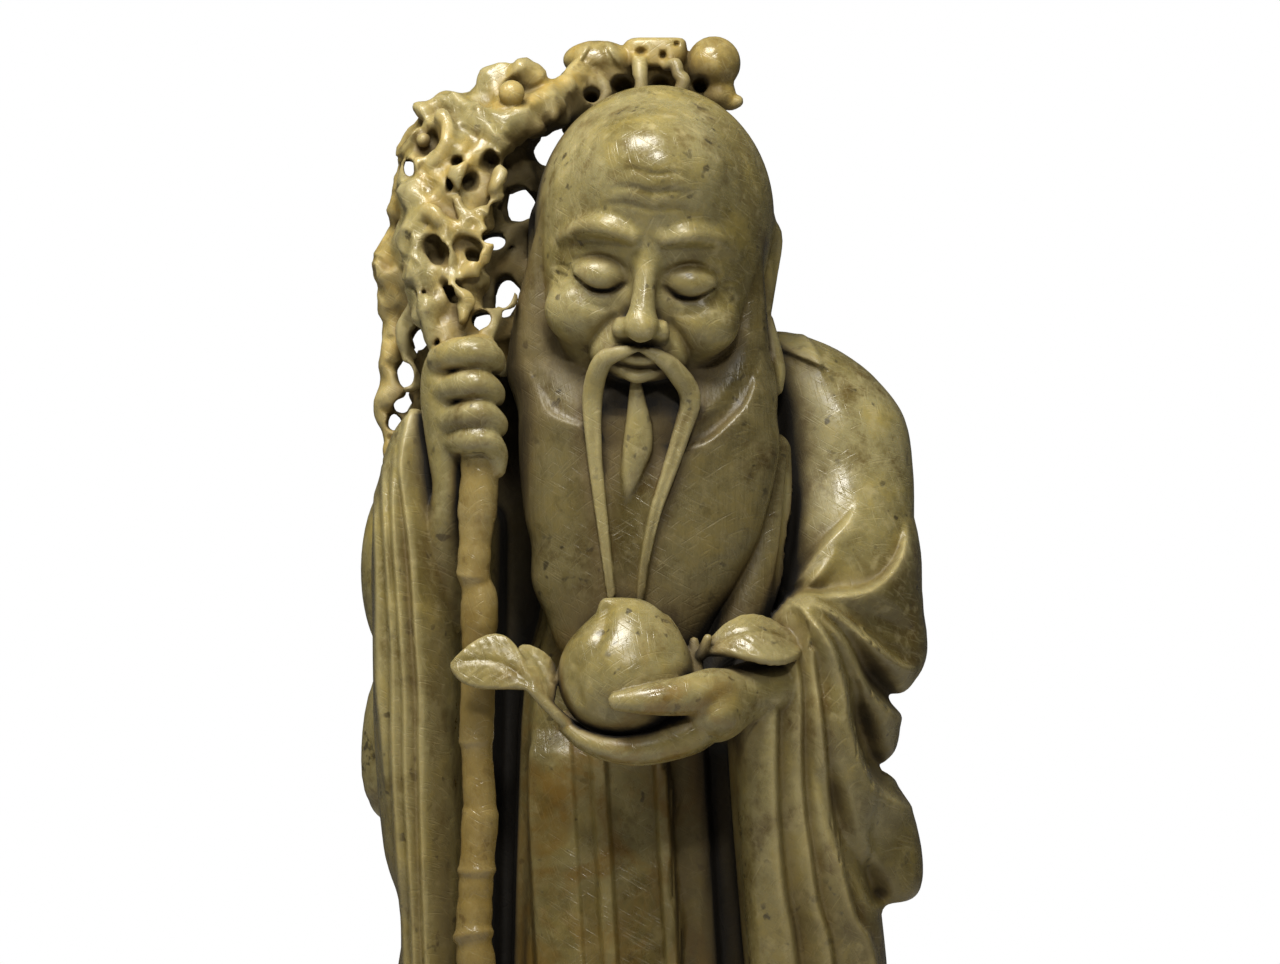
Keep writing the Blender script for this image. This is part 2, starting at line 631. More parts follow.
def face_lines(skull):
    """The lids, the lips and the marks of age."""
    skull.press(HEAD.crease([[-8.2, -22, 0.4], [-4, -23.6, 1], [0, -24.2, 1], [4, -23.6, 1],
                             [8.2, -22, 0.4]], 1.5, 0.7))
    skull.press(HEAD.crease([[0, -18.6, 0.6], [0, -20.6, 0.8]], 0.6, 1.1))
    for side in (-1, 1):
        lid = [[4.6, -5, 0.7], [8, -6.9, 1], [12, -7, 1], [16.4, -4.8, 0.8]]
        brow_fold = [[4.4, -1.4, 0.5], [8, 0.6, 1], [12.4, 0.8, 1], [17.4, -1.6, 0.6]]
        pouch = [[6, -9.6, 0.2], [10, -11, 1], [14.6, -9.8, 0.4]]
        cheek = [[6.8, -13.4, 0.6], [10, -17, 1], [12, -21.6, 0.7], [12.4, -25, 0]]
        for line, depth, width in ((lid, 1.1, 0.55), (brow_fold, 0.7, 0.7), (pouch, 0.5, 0.9),
                                   (cheek, 0.9, 1.1)):
            skull.press(HEAD.crease([[x * side, z, k] for x, z, k in line], depth, width))
        for k in range(3):
            tip = -2.6 - 2.4 * k
            ray = [[17.6, -4.2 - 0.8 * k, 0.2], [20, tip - 1, 1], [22.8, tip - 2.4 + 1.2 * k, 0]]
            skull.press(HEAD.crease([[x * side, z, k2] for x, z, k2 in ray], 0.45, 0.5))
    for k in range(3):
        z = 14.5 + 4.2 * k
        reach = 12.5 - 1.6 * k
        line = [[-reach, z - 1, 0], [-reach / 2, z + 0.8, 1], [0, z, 0.8], [reach / 2, z + 0.8, 1],
                [reach, z - 1, 0]]
        skull.press(HEAD.crease(line, 0.5, 0.7))


print("the face mirrors each egg, strand and line about the head's middle")


# %% [markdown]
# The high domed forehead is the mark of this figure, and long ears are a sign of a long life. The
# skull is three melted eggs, because a single ball would show no temples and no jaw. The ears lie
# flat on it, as in most stone carvings, where thin ears that stand off would break.

# %% The head with its long ears
def head():
    skull = Lump()
    skull.add(HEAD.egg([0.9, 2, 4.2], [29.2, 32, 32.6]))
    skull.add(HEAD.egg([0, -6, -16], [25, 23, 26]), 10)
    skull.add(HEAD.egg([0, -20, 21], [15.5, 12.5, 13]), 9)
    face(skull)
    face_lines(skull)
    for side in (-0.92, 1.02):
        skull.add(HEAD.strand([[28 * side, 2, 6, 1.8], [29.6 * side, 4, 1, 2.5],
                               [29.2 * side, 3, -10, 2.3], [28.6 * side, 0, -22, 2.1],
                               [28.4 * side, -2, -31, 2.7], [28 * side, -3, -36, 2]]), 1.2)
        skull.cut(HEAD.egg([31.6 * side, 1, -3], [1.8, 2.2, 6]), 0.8)
        skull.cut(HEAD.strand([[31 * side, -1, -12, 0.8], [30.6 * side, -3, -20, 0.7]]), 0.6)
    skull.add(strand([[29.8, -18, 279, 1.8], [30.9, -20, 273, 2.3], [31.7, -22, 267, 2.7],
                      [31.7, -23, 262.6, 2.1]]), 0.6)
    return skull


SKULL = told("head", head())


# %% [markdown]
# The beard is a broad flat fan that stands up in a low rim where it leaves the cheeks. Two long
# flat strands of moustache lie on it, with the tuft of the under lip between them. Hair curves are
# right for real hair, but this beard is polished stone, so it is a loft, and the material combs it.

# %% Beard and moustache
def beard():
    hair = Lump()
    hair.add(loft([
        [186, -2.5, -31, 5, 5], [193, -3.5, -31, 11, 6.5], [199, -4, -31.3, 17, 7.5],
        [207, -3.6, -31.8, 20.5, 8.5], [215, -2.6, -32, 24.8, 9], [224, -0.4, -32, 27.2, 9.3],
        [231, 0, -32, 29.2, 9.5], [240, 0.6, -31.5, 30.8, 10.3], [248, 1, -30.5, 31.7, 11.3],
        [256, 0.6, -28, 31.2, 14], [266, 0, -22, 29.5, 16], [274, 1, -16, 25, 15],
    ], 2.6, 3))
    hair.add(strand([[31, -25, 247, 4.6], [30.4, -26, 234, 5.6], [28, -27, 220, 6.4],
                     [23, -28, 206, 6.6], [16, -28, 194, 5.5]]), 0.8)
    for side in (-1, 1):
        hair.add(HEAD.strand([[25 * side, -9, 8, 1.2], [25.6 * side, -11, -6, 3.2],
                              [25.2 * side, -13, -18, 5.6], [24 * side, -14, -30, 8]]), 8)
    hair.cut(strand([[22.5, -39.5, 262, 1.6], [20, -41.5, 257, 2.6], [15.5, -42.5, 253, 3],
                     [10.5, -43, 250.6, 2]]), 1.6)
    hair.cut(strand([[-23, -39.5, 261, 1.4], [-20, -42, 257.4, 1.8], [-16, -43, 255.4, 1.4]]), 1.4)
    rims = [
        [[-26.5, 263, 0.3], [-24.1, 257, 1], [-21, 254.6, 1], [-16, 252.7, 0.7]],
        [[27, 265, 0.3], [26.2, 262, 1], [24.1, 257.3, 1], [19.7, 252.7, 1], [15.4, 249, 1],
         [10, 247, 0.5]],
    ]
    for rim, height, raised in zip(rims, (1.2, 1.5), (-1, 1)):
        hair.press(fold(rim, height=height, soft=8, sharp=1.4, groove=0.2, raised=raised))
    panel = [[[-12.6, 243, 0], [-11, 232, 1], [-9.4, 220, 1], [-8.6, 210, 0.4]],
             [[8, 247, 0], [4, 236, 1], [1.2, 224, 1], [-0.6, 210, 0.4]]]
    for line, raised in zip(panel, (1, -1)):
        hair.press(fold(line, height=0.9, soft=6, sharp=0.6, groove=0.3, raised=raised))
    return hair


def moustache():
    hair = Lump()
    tails = {
        -1: [[-12.6, -43.8, 260, 2.5], [-12.2, -43.4, 247, 1.9], [-10.4, -42.6, 231, 1.5],
             [-8.2, -41.8, 212.4, 1.1]],
        1: [[10.8, -43.9, 260, 2.6], [8.6, -43.6, 251, 2.2], [5, -43.2, 240, 1.8], [2.4, -42.6, 232, 1.5],
            [0, -42.2, 221, 1.2], [-1.2, -41.6, 211, 1]],
    }
    roots = [[1.2, -34.6, -19.2, 1], [4.6, -34.6, -20.4, 1.8], [8.6, -33.2, -23.6, 2.4]]
    for side, tail in tails.items():
        curl = [HEAD.place([x * side, y, z, r]) for x, y, z, r in roots]
        hair.add(strand([*curl, *tail], thin=0.7), 1.2)
        combed = [[x + 0.2 * side, z, k] for (x, _, z, _), k in zip(tail, (0, 1, 1, 1, 1, 1))]
        hair.press(fold(combed, height=-0.5, soft=0.9, sharp=0.9))
    tuft = [HEAD.place([0, -30.5, -29.5, 1.6]), [-1.6, -43, 250, 3.6], [-3, -42.2, 243, 2.8],
            [-4.4, -41.4, 235.6, 1]]
    hair.add(strand(tuft, thin=0.6), 1.8)
    return hair


BEARD = told("beard", beard())
MOUSTACHE = told("moustache", moustache())


# %% [markdown]
# The peach leans, has a tip and a cleft, and lies in the palm with the thumb across its front. The
# fingers could be posed by bones, but a hand shapes itself to what it holds. So everything here is
# placed from the peach's own centre and size.

# %% The peach, the hand under it and the leaves
PEACH = np.array([-4.6, -52.0, 193.4])
PEACH_RADIUS = 16.2
FINGER_RADIUS = 3.7


def peach():
    x, y, z = PEACH
    r = PEACH_RADIUS
    fruit = Lump()
    fruit.add(egg([x, y, z], [r, 0.92 * r, 0.94 * r]))
    tip = [[0.12, 0, 0.6, 0.5], [-0.05, -0.08, 0.9, 0.22], [-0.28, -0.12, 1.06, 0.07]]
    cleft = [[-0.28, -0.3, 1.02, 0.03], [-0.39, -0.66, 0.59, 0.06], [-0.61, -0.71, 0.3, 0.07],
             [-0.76, -0.64, 0, 0.07], [-0.72, -0.6, -0.3, 0.05]]

    def on_fruit(rows):
        return strand([[x + a * r, y + b * r, z + c * r, k * r] for a, b, c, k in rows])

    fruit.add(on_fruit(tip), 0.42 * r)
    fruit.cut(on_fruit(cleft), 3)
    return fruit


def peach_hand():
    x, y, z = PEACH
    r = PEACH_RADIUS
    finger = FINGER_RADIUS
    hand = Lump()
    hand.add(strand([[x + 2.35 * r, y + 9, z - 2, 7], [x + 1.75 * r, y + 3, z - 4, 7],
                     [x + 1.35 * r, y - 1, z - 6, 7.2]]), 2)
    hand.add(egg([x + 1.28 * r, y - 2, z - 8], [8, 12, 7.5]), 4)
    hand.add(egg([x + 0.45 * r, y + 3, z - 11], [11, 10, 6.5]), 4)
    hand.add(strand([
        [x + 1.4 * r, y - 4, z - 3.6, 1.5 * finger], [x + 1.22 * r, y - 8, z - 3.1, 1.42 * finger],
        [x + 0.89 * r, y - 0.75 * r, z - 4, 1.28 * finger],
        [x + 0.36 * r, y - 0.93 * r, z - 4.8, finger],
        [x - 0.12 * r, y - 0.95 * r, z - 5.2, 0.6 * finger],
    ]), 1.2)
    band = [[1.26, -1, -7.4, 1.62], [0.96, -6, -12.2, 1.48], [0.51, -8, -15.6, 1.1],
            [0.14, -8.5, -16.9, 0.95], [-0.23, -8, -16.6, 0.78], [-0.61, -6, -14.7, 0.62],
            [-0.9, -3, -11.6, 0.43]]
    for i in range(4):
        drop = 0 if i == 0 else 0.9 - 0.9 * (i - 1)
        hand.add(strand([[x + a * r, y + b + 6.6 * i, z + c - drop, k * finger] for a, b, c, k in band]),
                 0.9)
    return hand


def leaves():
    x, y, z = PEACH
    r = PEACH_RADIUS
    spray = Lump()
    spray.add(strand([[x - 0.86 * r, y - 4, z - 11, 1.5], [x - 1.1 * r, y - 5, z - 7.4, 1.5],
                      [x - 1.36 * r, y - 5, z - 3.1, 1.3]]), 1)
    spray.add(leaf([x - 1.29 * r, y - 5, z - 3.4], [x - 2.58 * r, y - 2, z + 2.9],
                   (-0.1, -1, 0.3), 7, bend=0.06, cup=0.012, thick=1.0, sweep=-0.16), 0.8)
    spray.add(leaf([x - 1.06 * r, y - 4, z - 7.4], [x - 1.54 * r, y + 2, z + 7.4],
                   (0.6, -1, 0.3), 4.8, bend=0.12, cup=0.03, thick=1.0), 0.8)
    spray.add(leaf([x + 1.02 * r, y + 1, z + 4.6], [x + 2.62 * r, y + 5, z + 5.8],
                   (0.05, -0.65, 0.8), 8.5, bend=0.25, cup=0.03, thick=1.1), 0.8)
    spray.add(strand([[x + 1.04 * r, y - 2, z - 3, 2], [x + 1.02 * r, y + 1, z + 4, 1.8],
                      [x + 1.0 * r, y + 2, z + 8, 1.2]]), 1)
    spray.add(strand([[x + 1.1 * r, y - 1, z + 5, 1.4], [x + 1.2 * r, y - 2, z + 9, 1.1]]), 0.6)
    return spray


FRUIT = told("peach", peach())
PEACH_HAND = told("peach hand", peach_hand())
LEAVES = told("leaves", leaves())


# %% [markdown]
# The other hand closes around the staff, one finger above the other, and its wrist runs down into
# the sleeve. Four strands that bend around the rod say that best, and they meet in small creases
# where a box with cut lines would look like a glove.

# %% The fist around the staff
def fist():
    hand = Lump()
    hand.add(strand([[-45.4, -41, 270.8, 4], [-47.2, -40, 266.5, 6.2], [-47.3, -39.5, 260, 6.8],
                     [-47.2, -39, 252, 6], [-47.4, -38.5, 244.5, 4.7], [-47.4, -38, 237, 4],
                     [-48.4, -32, 226, 6], [-50, -24, 210, 8.5]]), 2)
    fingers = [
        ([[-49, -44.5, 269, 3.3], [-44.8, -48.6, 270.3, 3.7], [-39.8, -49.6, 270.3, 3.7],
          [-37, -46.5, 269, 3.4], [-36.4, -42, 267.8, 2.8]]),
        ([[-48, -44.5, 261.9, 3.1], [-42.9, -49.2, 262.8, 3.5], [-39.2, -49.6, 262.8, 3.5],
          [-36.8, -46.5, 261, 3.2], [-36.2, -42, 260, 2.6]]),
        ([[-46.5, -44.5, 254.7, 3.1], [-41.7, -49.2, 255.7, 3.4], [-38.6, -49.4, 255.7, 3.4],
          [-36, -46.3, 253.5, 3.1], [-35.6, -42, 252.6, 2.6]]),
        ([[-45.3, -44, 249.2, 2.8], [-41.7, -48.6, 249.5, 3.2], [-37.9, -49, 249.5, 3.1],
          [-35.5, -46, 246.4, 2.7], [-35.5, -45, 242.6, 2.2]]),
    ]
    for finger in fingers:
        hand.add(strand(finger), 1.2)
    return hand


FIST = told("fist", fist())


# %% [markdown]
# The root is gnarled and pierced. Its big forms are a stem, a rim around the outside, a layer
# behind that reaches the head, and a branch that carries the crest. Displacement by a noise would
# make it lumpy all over. A web of waves gives ridges that join up as roots do.

# %% The root
BROAD_WEB = 12
FINE_WEB = 6.5
PIT_WEB = 8.5


def gnarl(low, high):
    def value(s):
        sway = 1.5 * np.sin(s.z * 0.3 + s.x * 0.1)
        broad = weave_of(s.x + sway, s.y, s.z + 4, BROAD_WEB)
        fine = weave_of(s.x, s.y + 2, s.z, FINE_WEB)
        pits = weave_of(s.x + 3 + 0.6 * sway, 0.5 * s.y, s.z + 0.8 * sway, PIT_WEB)
        return 0.65 * broad + 0.2 * fine - 0.6 * ramp(pits, 0.7, 1.2)

    return Form(value, low, high)


def root():
    wood = Lump()
    wood.add(loft([
        [270, -46, -40, 6, 4.4], [279, -47.5, -38, 8, 5.2], [288, -48, -35, 10, 6],
        [297, -48.3, -33, 11.2, 6.6], [306, -48, -31, 11.5, 6.6], [315, -46.5, -29, 12, 6.4],
        [322, -44.5, -26, 12, 6.8], [329, -42.5, -22, 10, 6], [333, -41.5, -20, 6, 4],
    ], 2.2, 4))
    wood.add(strand([[-40.5, -27, 323.7, 6], [-34.9, -26, 326.5, 6.2], [-27.1, -20, 330.4, 6],
                     [-20.4, -9, 334.9, 5.6], [-14.5, -3, 339.4, 5.4], [-7, 1, 342, 5],
                     [2, 3, 343.4, 4.6], [12, 3, 343, 4.2]]), 2)
    wood.add(strand([[-36, -10, 273, 7], [-36, -10, 286, 9], [-35.5, -10, 298, 9],
                     [-34.5, -10, 311, 9], [-33, -10, 322, 7], [-30, -10, 327, 5]]), 3)
    wood.add(strand([[-42.5, -14, 277, 7], [-44.5, -14, 290, 8], [-46, -14, 303, 8],
                     [-45.5, -14, 316, 8]]), 4)
    rim = [
        (-61, 240, 3.0), (-60.8, 247.5, 3), (-62, 254, 3.4), (-62.2, 262, 3.6), (-61.2, 269, 3.8),
        (-60.6, 277, 3.4), (-61.2, 283, 3.6), (-63.3, 289.5, 3.4), (-63, 294, 3.5),
        (-60.8, 298.6, 2.9), (-58.8, 302.6, 2.9), (-59.2, 306, 3.4), (-57.6, 312, 3.4),
        (-58.2, 317.8, 3.6), (-56.2, 321, 3.6), (-54.8, 325, 3.8), (-51.5, 328.4, 4),
        (-48, 331.2, 4), (-39.8, 333.6, 4), (-37, 337.2, 4), (-31.5, 339.4, 4), (-27, 338, 3.8),
    ]
    wood.add(strand([[x, -18, z, r] for x, z, r in rim], 3), 2)
    wood.add(egg([-62.2, -20, 290.5], [4.4, 5, 7.5]), 2)
    wood.add(strand([[-59, -16, 246, 3.4], [-56, -16, 256, 3.6], [-54, -16, 266, 3.6],
                     [-51.5, -16, 276, 4.4]]), 2)
    wood.add(strand([[-56.5, -22, 296, 5.5], [-55.5, -22, 303, 5.5], [-54.5, -22, 312, 6.4],
                     [-51.5, -22, 320, 6.4]]), 3)
    wood.add(strand([[-58, -19, 297, 4], [-57.4, -19, 287, 4.6], [-56.6, -18, 277, 4.2]]), 2)
    wood.cut(egg([-53.5, -31, 323.5], [4.4, 6, 7]), 2.5)
    ridges = [
        [[-44.8, -37, 315.3, 1.4], [-45.2, -38.6, 306.9, 1.5], [-43.3, -39.6, 302.5, 1.4]],
        [[-36.1, -34, 318.1, 1.6], [-35.5, -35.5, 312.5, 1.7], [-37.2, -37.2, 306.9, 1.6],
         [-40.5, -39, 302.5, 1.5]],
        [[-51.7, -38.6, 304.7, 1.8], [-46.1, -39.6, 301.3, 1.9], [-40.5, -40, 299.1, 1.9],
         [-37.4, -39.6, 295.7, 1.7], [-40.5, -41.4, 291.3, 1.6], [-43.9, -42, 289, 1.4]],
        [[-54.5, -37.4, 300.2, 2.1], [-55.4, -38.6, 293.5, 2.3], [-54, -41, 284.6, 2.2],
         [-51.7, -42.6, 277.8, 1.9]],
        [[-46.7, -40, 299.1, 1.9], [-47.2, -41.6, 291.3, 2.1], [-43.9, -43, 284.6, 2],
         [-43.9, -44.4, 277.8, 1.9]],
        [[-54, -22, 330.4, 2.3], [-47.2, -23, 331.6, 2.5], [-40.5, -27, 330, 2.5],
         [-37.2, -31, 324.8, 2.2]],
        [[-48.9, -28, 330, 1.6], [-47.8, -31.8, 324.8, 1.7], [-50, -34, 318.1, 1.6],
         [-54, -33, 314.8, 1.5]],
        [[-38.5, -41.6, 273, 1.6], [-37, -40, 279, 1.7], [-33, -34, 284.5, 1.6]],
        [[-57, -27, 283, 1.8], [-58.5, -25, 273, 1.8], [-56.8, -24, 263, 1.6]],
    ]
    for ridge in ridges:
        wood.add(strand(ridge, 3), 1.4)
    for x, z, length, r in [(-34, 316, 11, 3.4), (-34, 302, 9, 2.8), (-33.5, 292, 9, 2.6),
                            (-34, 274, 8, 3.6)]:
        wood.add(strand([[x, -10, z, r + 0.6], [x + length / 2, -10, z + 0.4, r],
                         [x + length, -10, z - 0.6, r]], 2), 2)
    pierce(wood, ROOT_HOLES, 30, 1.0)
    pierce(wood, ROOT_POCKETS, 5.5, 1.0)
    wood.press(gnarl([-80, -60, 236], [16, 20, 360]))
    pierce(wood, ROOT_HOLES, 60, 0.84)
    crest(wood)
    pierce(wood, CREST_POCKETS, 11, 1.0)
    return wood


print("the root's web repeats every", BROAD_WEB, "and", FINE_WEB, "mm")


# %% [markdown]
# The crest is a small bat, a pierced tab and a gourd over the forehead, on short legs. It could be
# one strip with cuts in it, but the real one is a row of separate little forms with light between
# them, so each gets its own egg, loft or strand, and a plain strand behind ties them together.

# %% The crest
BIG_BEAD_RADIUS = 3.2
SMALL_BEAD_RADIUS = 1.8
GOURD_RADIUS = 6.7


def crest(wood):
    """The bat, the tab and the gourd, with their legs and the stone behind them."""
    wood.add(egg([-11.7, 0, 345], [8.8, 7, 4.8]), 1.5)
    wood.add(loft([[343, 2, 1, 7.4, 5.5], [346, 2.5, 1, 8, 5.5], [349, 2.6, 1, 7.8, 5.2],
                   [350.4, 3, 1, 7, 4.6]], 3.5, 1.2), 1)
    wood.add(egg([17.2, 0, 344.2], GOURD_RADIUS), 0.8)
    wood.add(egg([18.6, 0, 336.6], [4.1, 4.2, 4]), 1.5)
    wood.add(strand([[19.6, 0, 335.4, 2.2], [21.3, -0.5, 334.1, 1.8], [23, -1, 334.6, 1.6]]), 1)
    wood.add(egg([-32.5, -28, 334.1], BIG_BEAD_RADIUS), 0.6)
    wood.add(egg([-54, -26.5, 322.8], SMALL_BEAD_RADIUS), 0.3)
    legs = [
        [[-15.9, -5, 341.7, 2.6], [-17.9, -6, 336, 2.5], [-18.6, -6.5, 331, 2.2], [-18.9, -7, 327.2, 1.8]],
        [[-12.4, -5, 341, 1.7], [-9.7, -6, 336.2, 1.7], [-13.1, -6.5, 331.4, 1.5]],
        [[-1.4, -4, 345, 2], [-1.2, -6, 341, 2], [-1, -7, 336, 1.9]],
        [[5.2, -4, 343, 1.2], [7.6, -5.5, 343.4, 1.6], [8.2, -6, 341, 1.6], [9.6, -6.5, 339, 1.8],
         [8, -6.5, 335, 1.7]],
    ]
    for leg in legs:
        wood.add(strand(leg, 3), 0.8)
    wood.add(strand([[-17, 5, 337, 4], [-6, 6, 340, 4], [6, 6, 340.5, 4], [14, 5, 339, 3.6]]), 1)
    for side in (-1, 1):
        line = [[-11.7 + 2 * side, 349, 0.3], [-11.7 + 3 * side, 346.5, 1], [-11.7 + 5.6 * side, 342.6, 0.6]]
        wood.press(fold(line, height=0.8, soft=2.5, sharp=0.6, groove=0.4, raised=side, near=-20,
                        fade=3))


print("gourd", 2 * GOURD_RADIUS, "mm across")


# %% [markdown]
# A carver drills the root last. Some holes go right through and show light, and pockets end in the
# dark. Boolean cylinders would leave sharp rims and straight walls. A long egg wears a soft rim, as
# a hole has after polishing. The holes are cut again, a little smaller, once the web is pressed on.

# %% The drilled holes
# Rows of x, depth, z, half width, half height.
ROOT_HOLES = [
    (-57.5, -10, 316, 1.6, 2.4), (-30.6, -10, 307.6, 4, 4.6), (-37, -10, 298.5, 3.2, 2.4),
    (-34.3, -10, 285.4, 3.2, 5.1), (-39.4, -10, 278.6, 3.3, 3), (-58.5, -10, 265.5, 2.6, 3.4),
    (-61.7, -10, 253.7, 1.8, 1.8), (-59.5, -10, 258.5, 1.9, 1.5), (-24.8, -10, 321.2, 2.9, 3.6),
    (-55, -10, 274.5, 1.7, 3),
]
ROOT_POCKETS = [
    (-45.3, -37, 317.4, 1.7, 1.8), (-42.2, -37, 312, 1.7, 1.9), (-47.3, -38, 311, 1.6, 2.6),
    (-37.9, -33, 318, 2.4, 2.8), (-31.5, -22, 318.4, 2.2, 2.6), (-50.3, -40, 295.4, 2.4, 4),
    (-41.6, -39, 293.5, 1.7, 1.8), (-46.5, -41, 285.6, 2.2, 2.3), (-49.8, -45, 272, 1.3, 2.4),
]
CREST_POCKETS = [
    (-13.4, -4, 335.6, 2.2, 2), (-5.4, -4, 338.6, 3, 2.4), (4, -4, 339, 2.8, 2.4),
    (13.8, -4, 338.6, 2, 2), (-1.05, -13.5, 346.7, 2.75, 1.95), (4.5, -13, 345.8, 1.4, 1.7),
    (7.9, -13, 348.7, 1.7, 1.3),
]


def pierce(wood, holes, depth, size):
    for x, y, z, wide, high in holes:
        wood.cut(egg([x, y, z], [wide * size, depth, high * size]), 0.8)


ROOT = told("root", root())


# %% [markdown]
# The figure stands on a low rock, guessed and plain, with a wavy edge and chipped sides. A
# displaced box would do as well. As a distance it melts into the hem without a further step.

# %% The low rock
PLINTH_HEIGHT = 15.0
PLINTH_WIDTH = 132.0
PLINTH_DEPTH = 92.0
ROCK_CORNER = 2.6  # 2 is an ellipse from above, and a high number a rectangle


def rock():
    half_wide, half_deep = PLINTH_WIDTH / 2, PLINTH_DEPTH / 2

    def value(s):
        wave = 1.6 * np.sin(s.x * 0.19 + 1) + 1.3 * np.sin(s.y * 0.23 + 2)
        wave = wave + 0.9 * np.sin((s.x + s.y) * 0.37)
        chips = 0.35 * weave_of(s.x, s.y, s.z * 1.4, 7.5)
        across = np.abs(s.x / (half_wide + wave)) ** ROCK_CORNER
        across = across + np.abs((s.y + 3) / (half_deep + wave)) ** ROCK_CORNER
        rho = across ** (1 / ROCK_CORNER) + 1e-6
        away = np.sqrt(s.x * s.x + s.y * s.y)
        side = away * (1 - 1 / rho) + 0.22 * s.z + chips
        top = s.z - PLINTH_HEIGHT - 0.5 * wave * ramp(away, 20, 50) + chips
        return -soft_min(-side, -top, 3.0)

    return Form(value, [-half_wide - 5, -half_deep - 8, -3], [half_wide + 5, half_deep + 3, 20])


print("rock", PLINTH_WIDTH, "by", PLINTH_DEPTH, "by", PLINTH_HEIGHT, "mm")


# %% [markdown]
# Now the lumps become one stone, from the back to the front, because a later form wins where a cut
# was made before it. Booleans of finished meshes would leave hard seams and could fail where
# surfaces touch. Soft seams between distances cannot. A second lump marks the strands of the root
# and the gourd along which the real stone is honey yellow. It is never shown.

# %% The whole figure and its amber veins
STAFF_RADIUS = 4.4
STAFF_X = -40.2
STAFF_Y = -44.0


def figure():
    stone = Lump()
    for part, blend in [(ROBE, 0), (SHOES, 1), (STAFF_SLEEVE, 2), (PEACH_SLEEVE, 2), (BEARD, 1.5)]:
        stone.add(part, blend)
    gap = [[36, -27, 252, 0.8], [36, -28, 245, 1.6], [35.6, -29, 235, 2.2], [34.4, -30, 223, 2.4],
           [32.6, -32, 213, 1.8], [30.6, -34, 206, 0.8]]
    bore(stone, gap, backs=(0, 5, 9), thinner=0.04, blend=0.8)
    for part, blend in [(SKULL, 1), (MOUSTACHE, 0.5), (PEACH_HAND, 0.6), (FRUIT, 0.3), (LEAVES, 0.3),
                        (FIST, 0.5), (ROOT, 0.8), (rock(), 1.5)]:
        stone.add(part, blend)
    return stone


def amber():
    """The strands of the root along which the stone is honey yellow."""
    vein = Lump()
    vein.add(strand([[-61, -18, 240, 4], [-62, -18, 262, 4.4], [-60.8, -18, 280, 4.4],
                     [-63, -18, 292, 4.4], [-59, -18, 304, 4], [-57.6, -18, 317, 4.4],
                     [-52, -18, 328, 4.6]]))
    vein.add(strand([[-54, -32, 324, 5], [-50, -38, 310, 2], [-47, -42, 296, 3], [-44, -44, 282, 4],
                     [-44, -44, 268, 4]]))
    vein.add(strand([[-41, -36, 322, 2], [-39, -40, 306, 2.4], [-38, -42, 294, 2.2]]))
    vein.add(strand([[-33, -26, 334, 4], [-18, -3, 342, 5], [-3, 2, 345, 5], [10, 2, 345, 5]]))
    vein.add(egg([17.2, 0, 344.2], GOURD_RADIUS))
    vein.add(egg([18.6, 0, 336.6], 4))
    vein.add(strand([[-35, -12, 290, 5], [-35, -12, 276, 5]]))
    vein.add(strand([[STAFF_X, STAFF_Y + 1, 250, 2.3], [STAFF_X, STAFF_Y + 1, PLINTH_HEIGHT - 1, 2.3]]))
    return vein


AMBER = told("amber veins", amber())
STONE = told("stone", figure())
print("forms ready after", round(time.time() - started, 1), "s")



# %% [markdown]
# A mesh comes out of a grid of distances. Blender's own volume nodes could fill one, but they know
# nothing of these forms. The grid is far too big to fill point by point: most of it is air or the
# inside of the stone. So the stone is first felt once in each block of four steps, and only blocks
# that its surface may cross are filled in. Blocks are handled in larger cubes, because a cube needs
# only the few forms that are near it, and the cubes go to several workers at once.

# %% Feel the stone, coarse and then fine
WORKERS = 4
ROOM_AROUND = 4  # millimetres of air around the solid's box
BLOCK = 4  # grid steps along a block that is felt as one first
NEAR_BLOCKS = 2.2  # how many blocks off a surface may be and still cross one
COARSE_REACH = 14.0  # how far off a form is still felt in that first look
COARSE_CUBE = 12  # blocks along a cube in the first look
FINE_CUBE = 10  # and in the second

LOW = np.array([CAD_BOX[0][i] / MM - ROOM_AROUND for i in range(3)])
HIGH = np.array([CAD_BOX[1][i] / MM + ROOM_AROUND for i in range(3)])
LOW[2] = -2.5 * STEP
BLOCK_SIZE = BLOCK * STEP
COUNTS = np.ceil((HIGH - LOW) / BLOCK_SIZE).astype(int)


def stone_at(spots):
    """The stone's distance, cut flat below where it stands."""
    return np.maximum(STONE.value(spots), -spots.z)


def in_cubes(cells, side):
    """Rows of block numbers, split into groups that lie in the same cube of blocks."""
    cube = cells // side
    most = cells.max() + 1
    key = (cube[:, 0] * most + cube[:, 1]) * most + cube[:, 2]
    order = np.argsort(key, kind="stable")
    edges = np.flatnonzero(np.diff(key[order])) + 1
    return np.split(cells[order], edges)


def carve_grid():
    field = np.full(COUNTS * BLOCK, FAR, np.float32)
    coarse = np.full(COUNTS, FAR, np.float32)
    every = np.argwhere(coarse > 0)

    def feel(cells):
        centres = LOW + (cells + 0.5) * BLOCK_SIZE - STEP / 2
        coarse[tuple(cells.T)] = stone_at(Spots(*centres.T, reach=COARSE_REACH))

    steps = np.argwhere(np.ones([BLOCK] * 3))

    def fill(cells):
        nodes = (cells[:, None, :] * BLOCK + steps).reshape(-1, 3)
        field[tuple(nodes.T)] = stone_at(Spots(*(LOW + nodes * STEP).T))

    with ThreadPoolExecutor(WORKERS) as workers:
        list(workers.map(feel, in_cubes(every, COARSE_CUBE)))
        field[:] = coarse.repeat(BLOCK, 0).repeat(BLOCK, 1).repeat(BLOCK, 2)
        near = np.argwhere(np.abs(coarse) < NEAR_BLOCKS * BLOCK_SIZE)
        list(workers.map(fill, in_cubes(near, FINE_CUBE)))
    return field


field = carve_grid()
print("grid", field.shape, "filled after", round(time.time() - started, 1), "s")


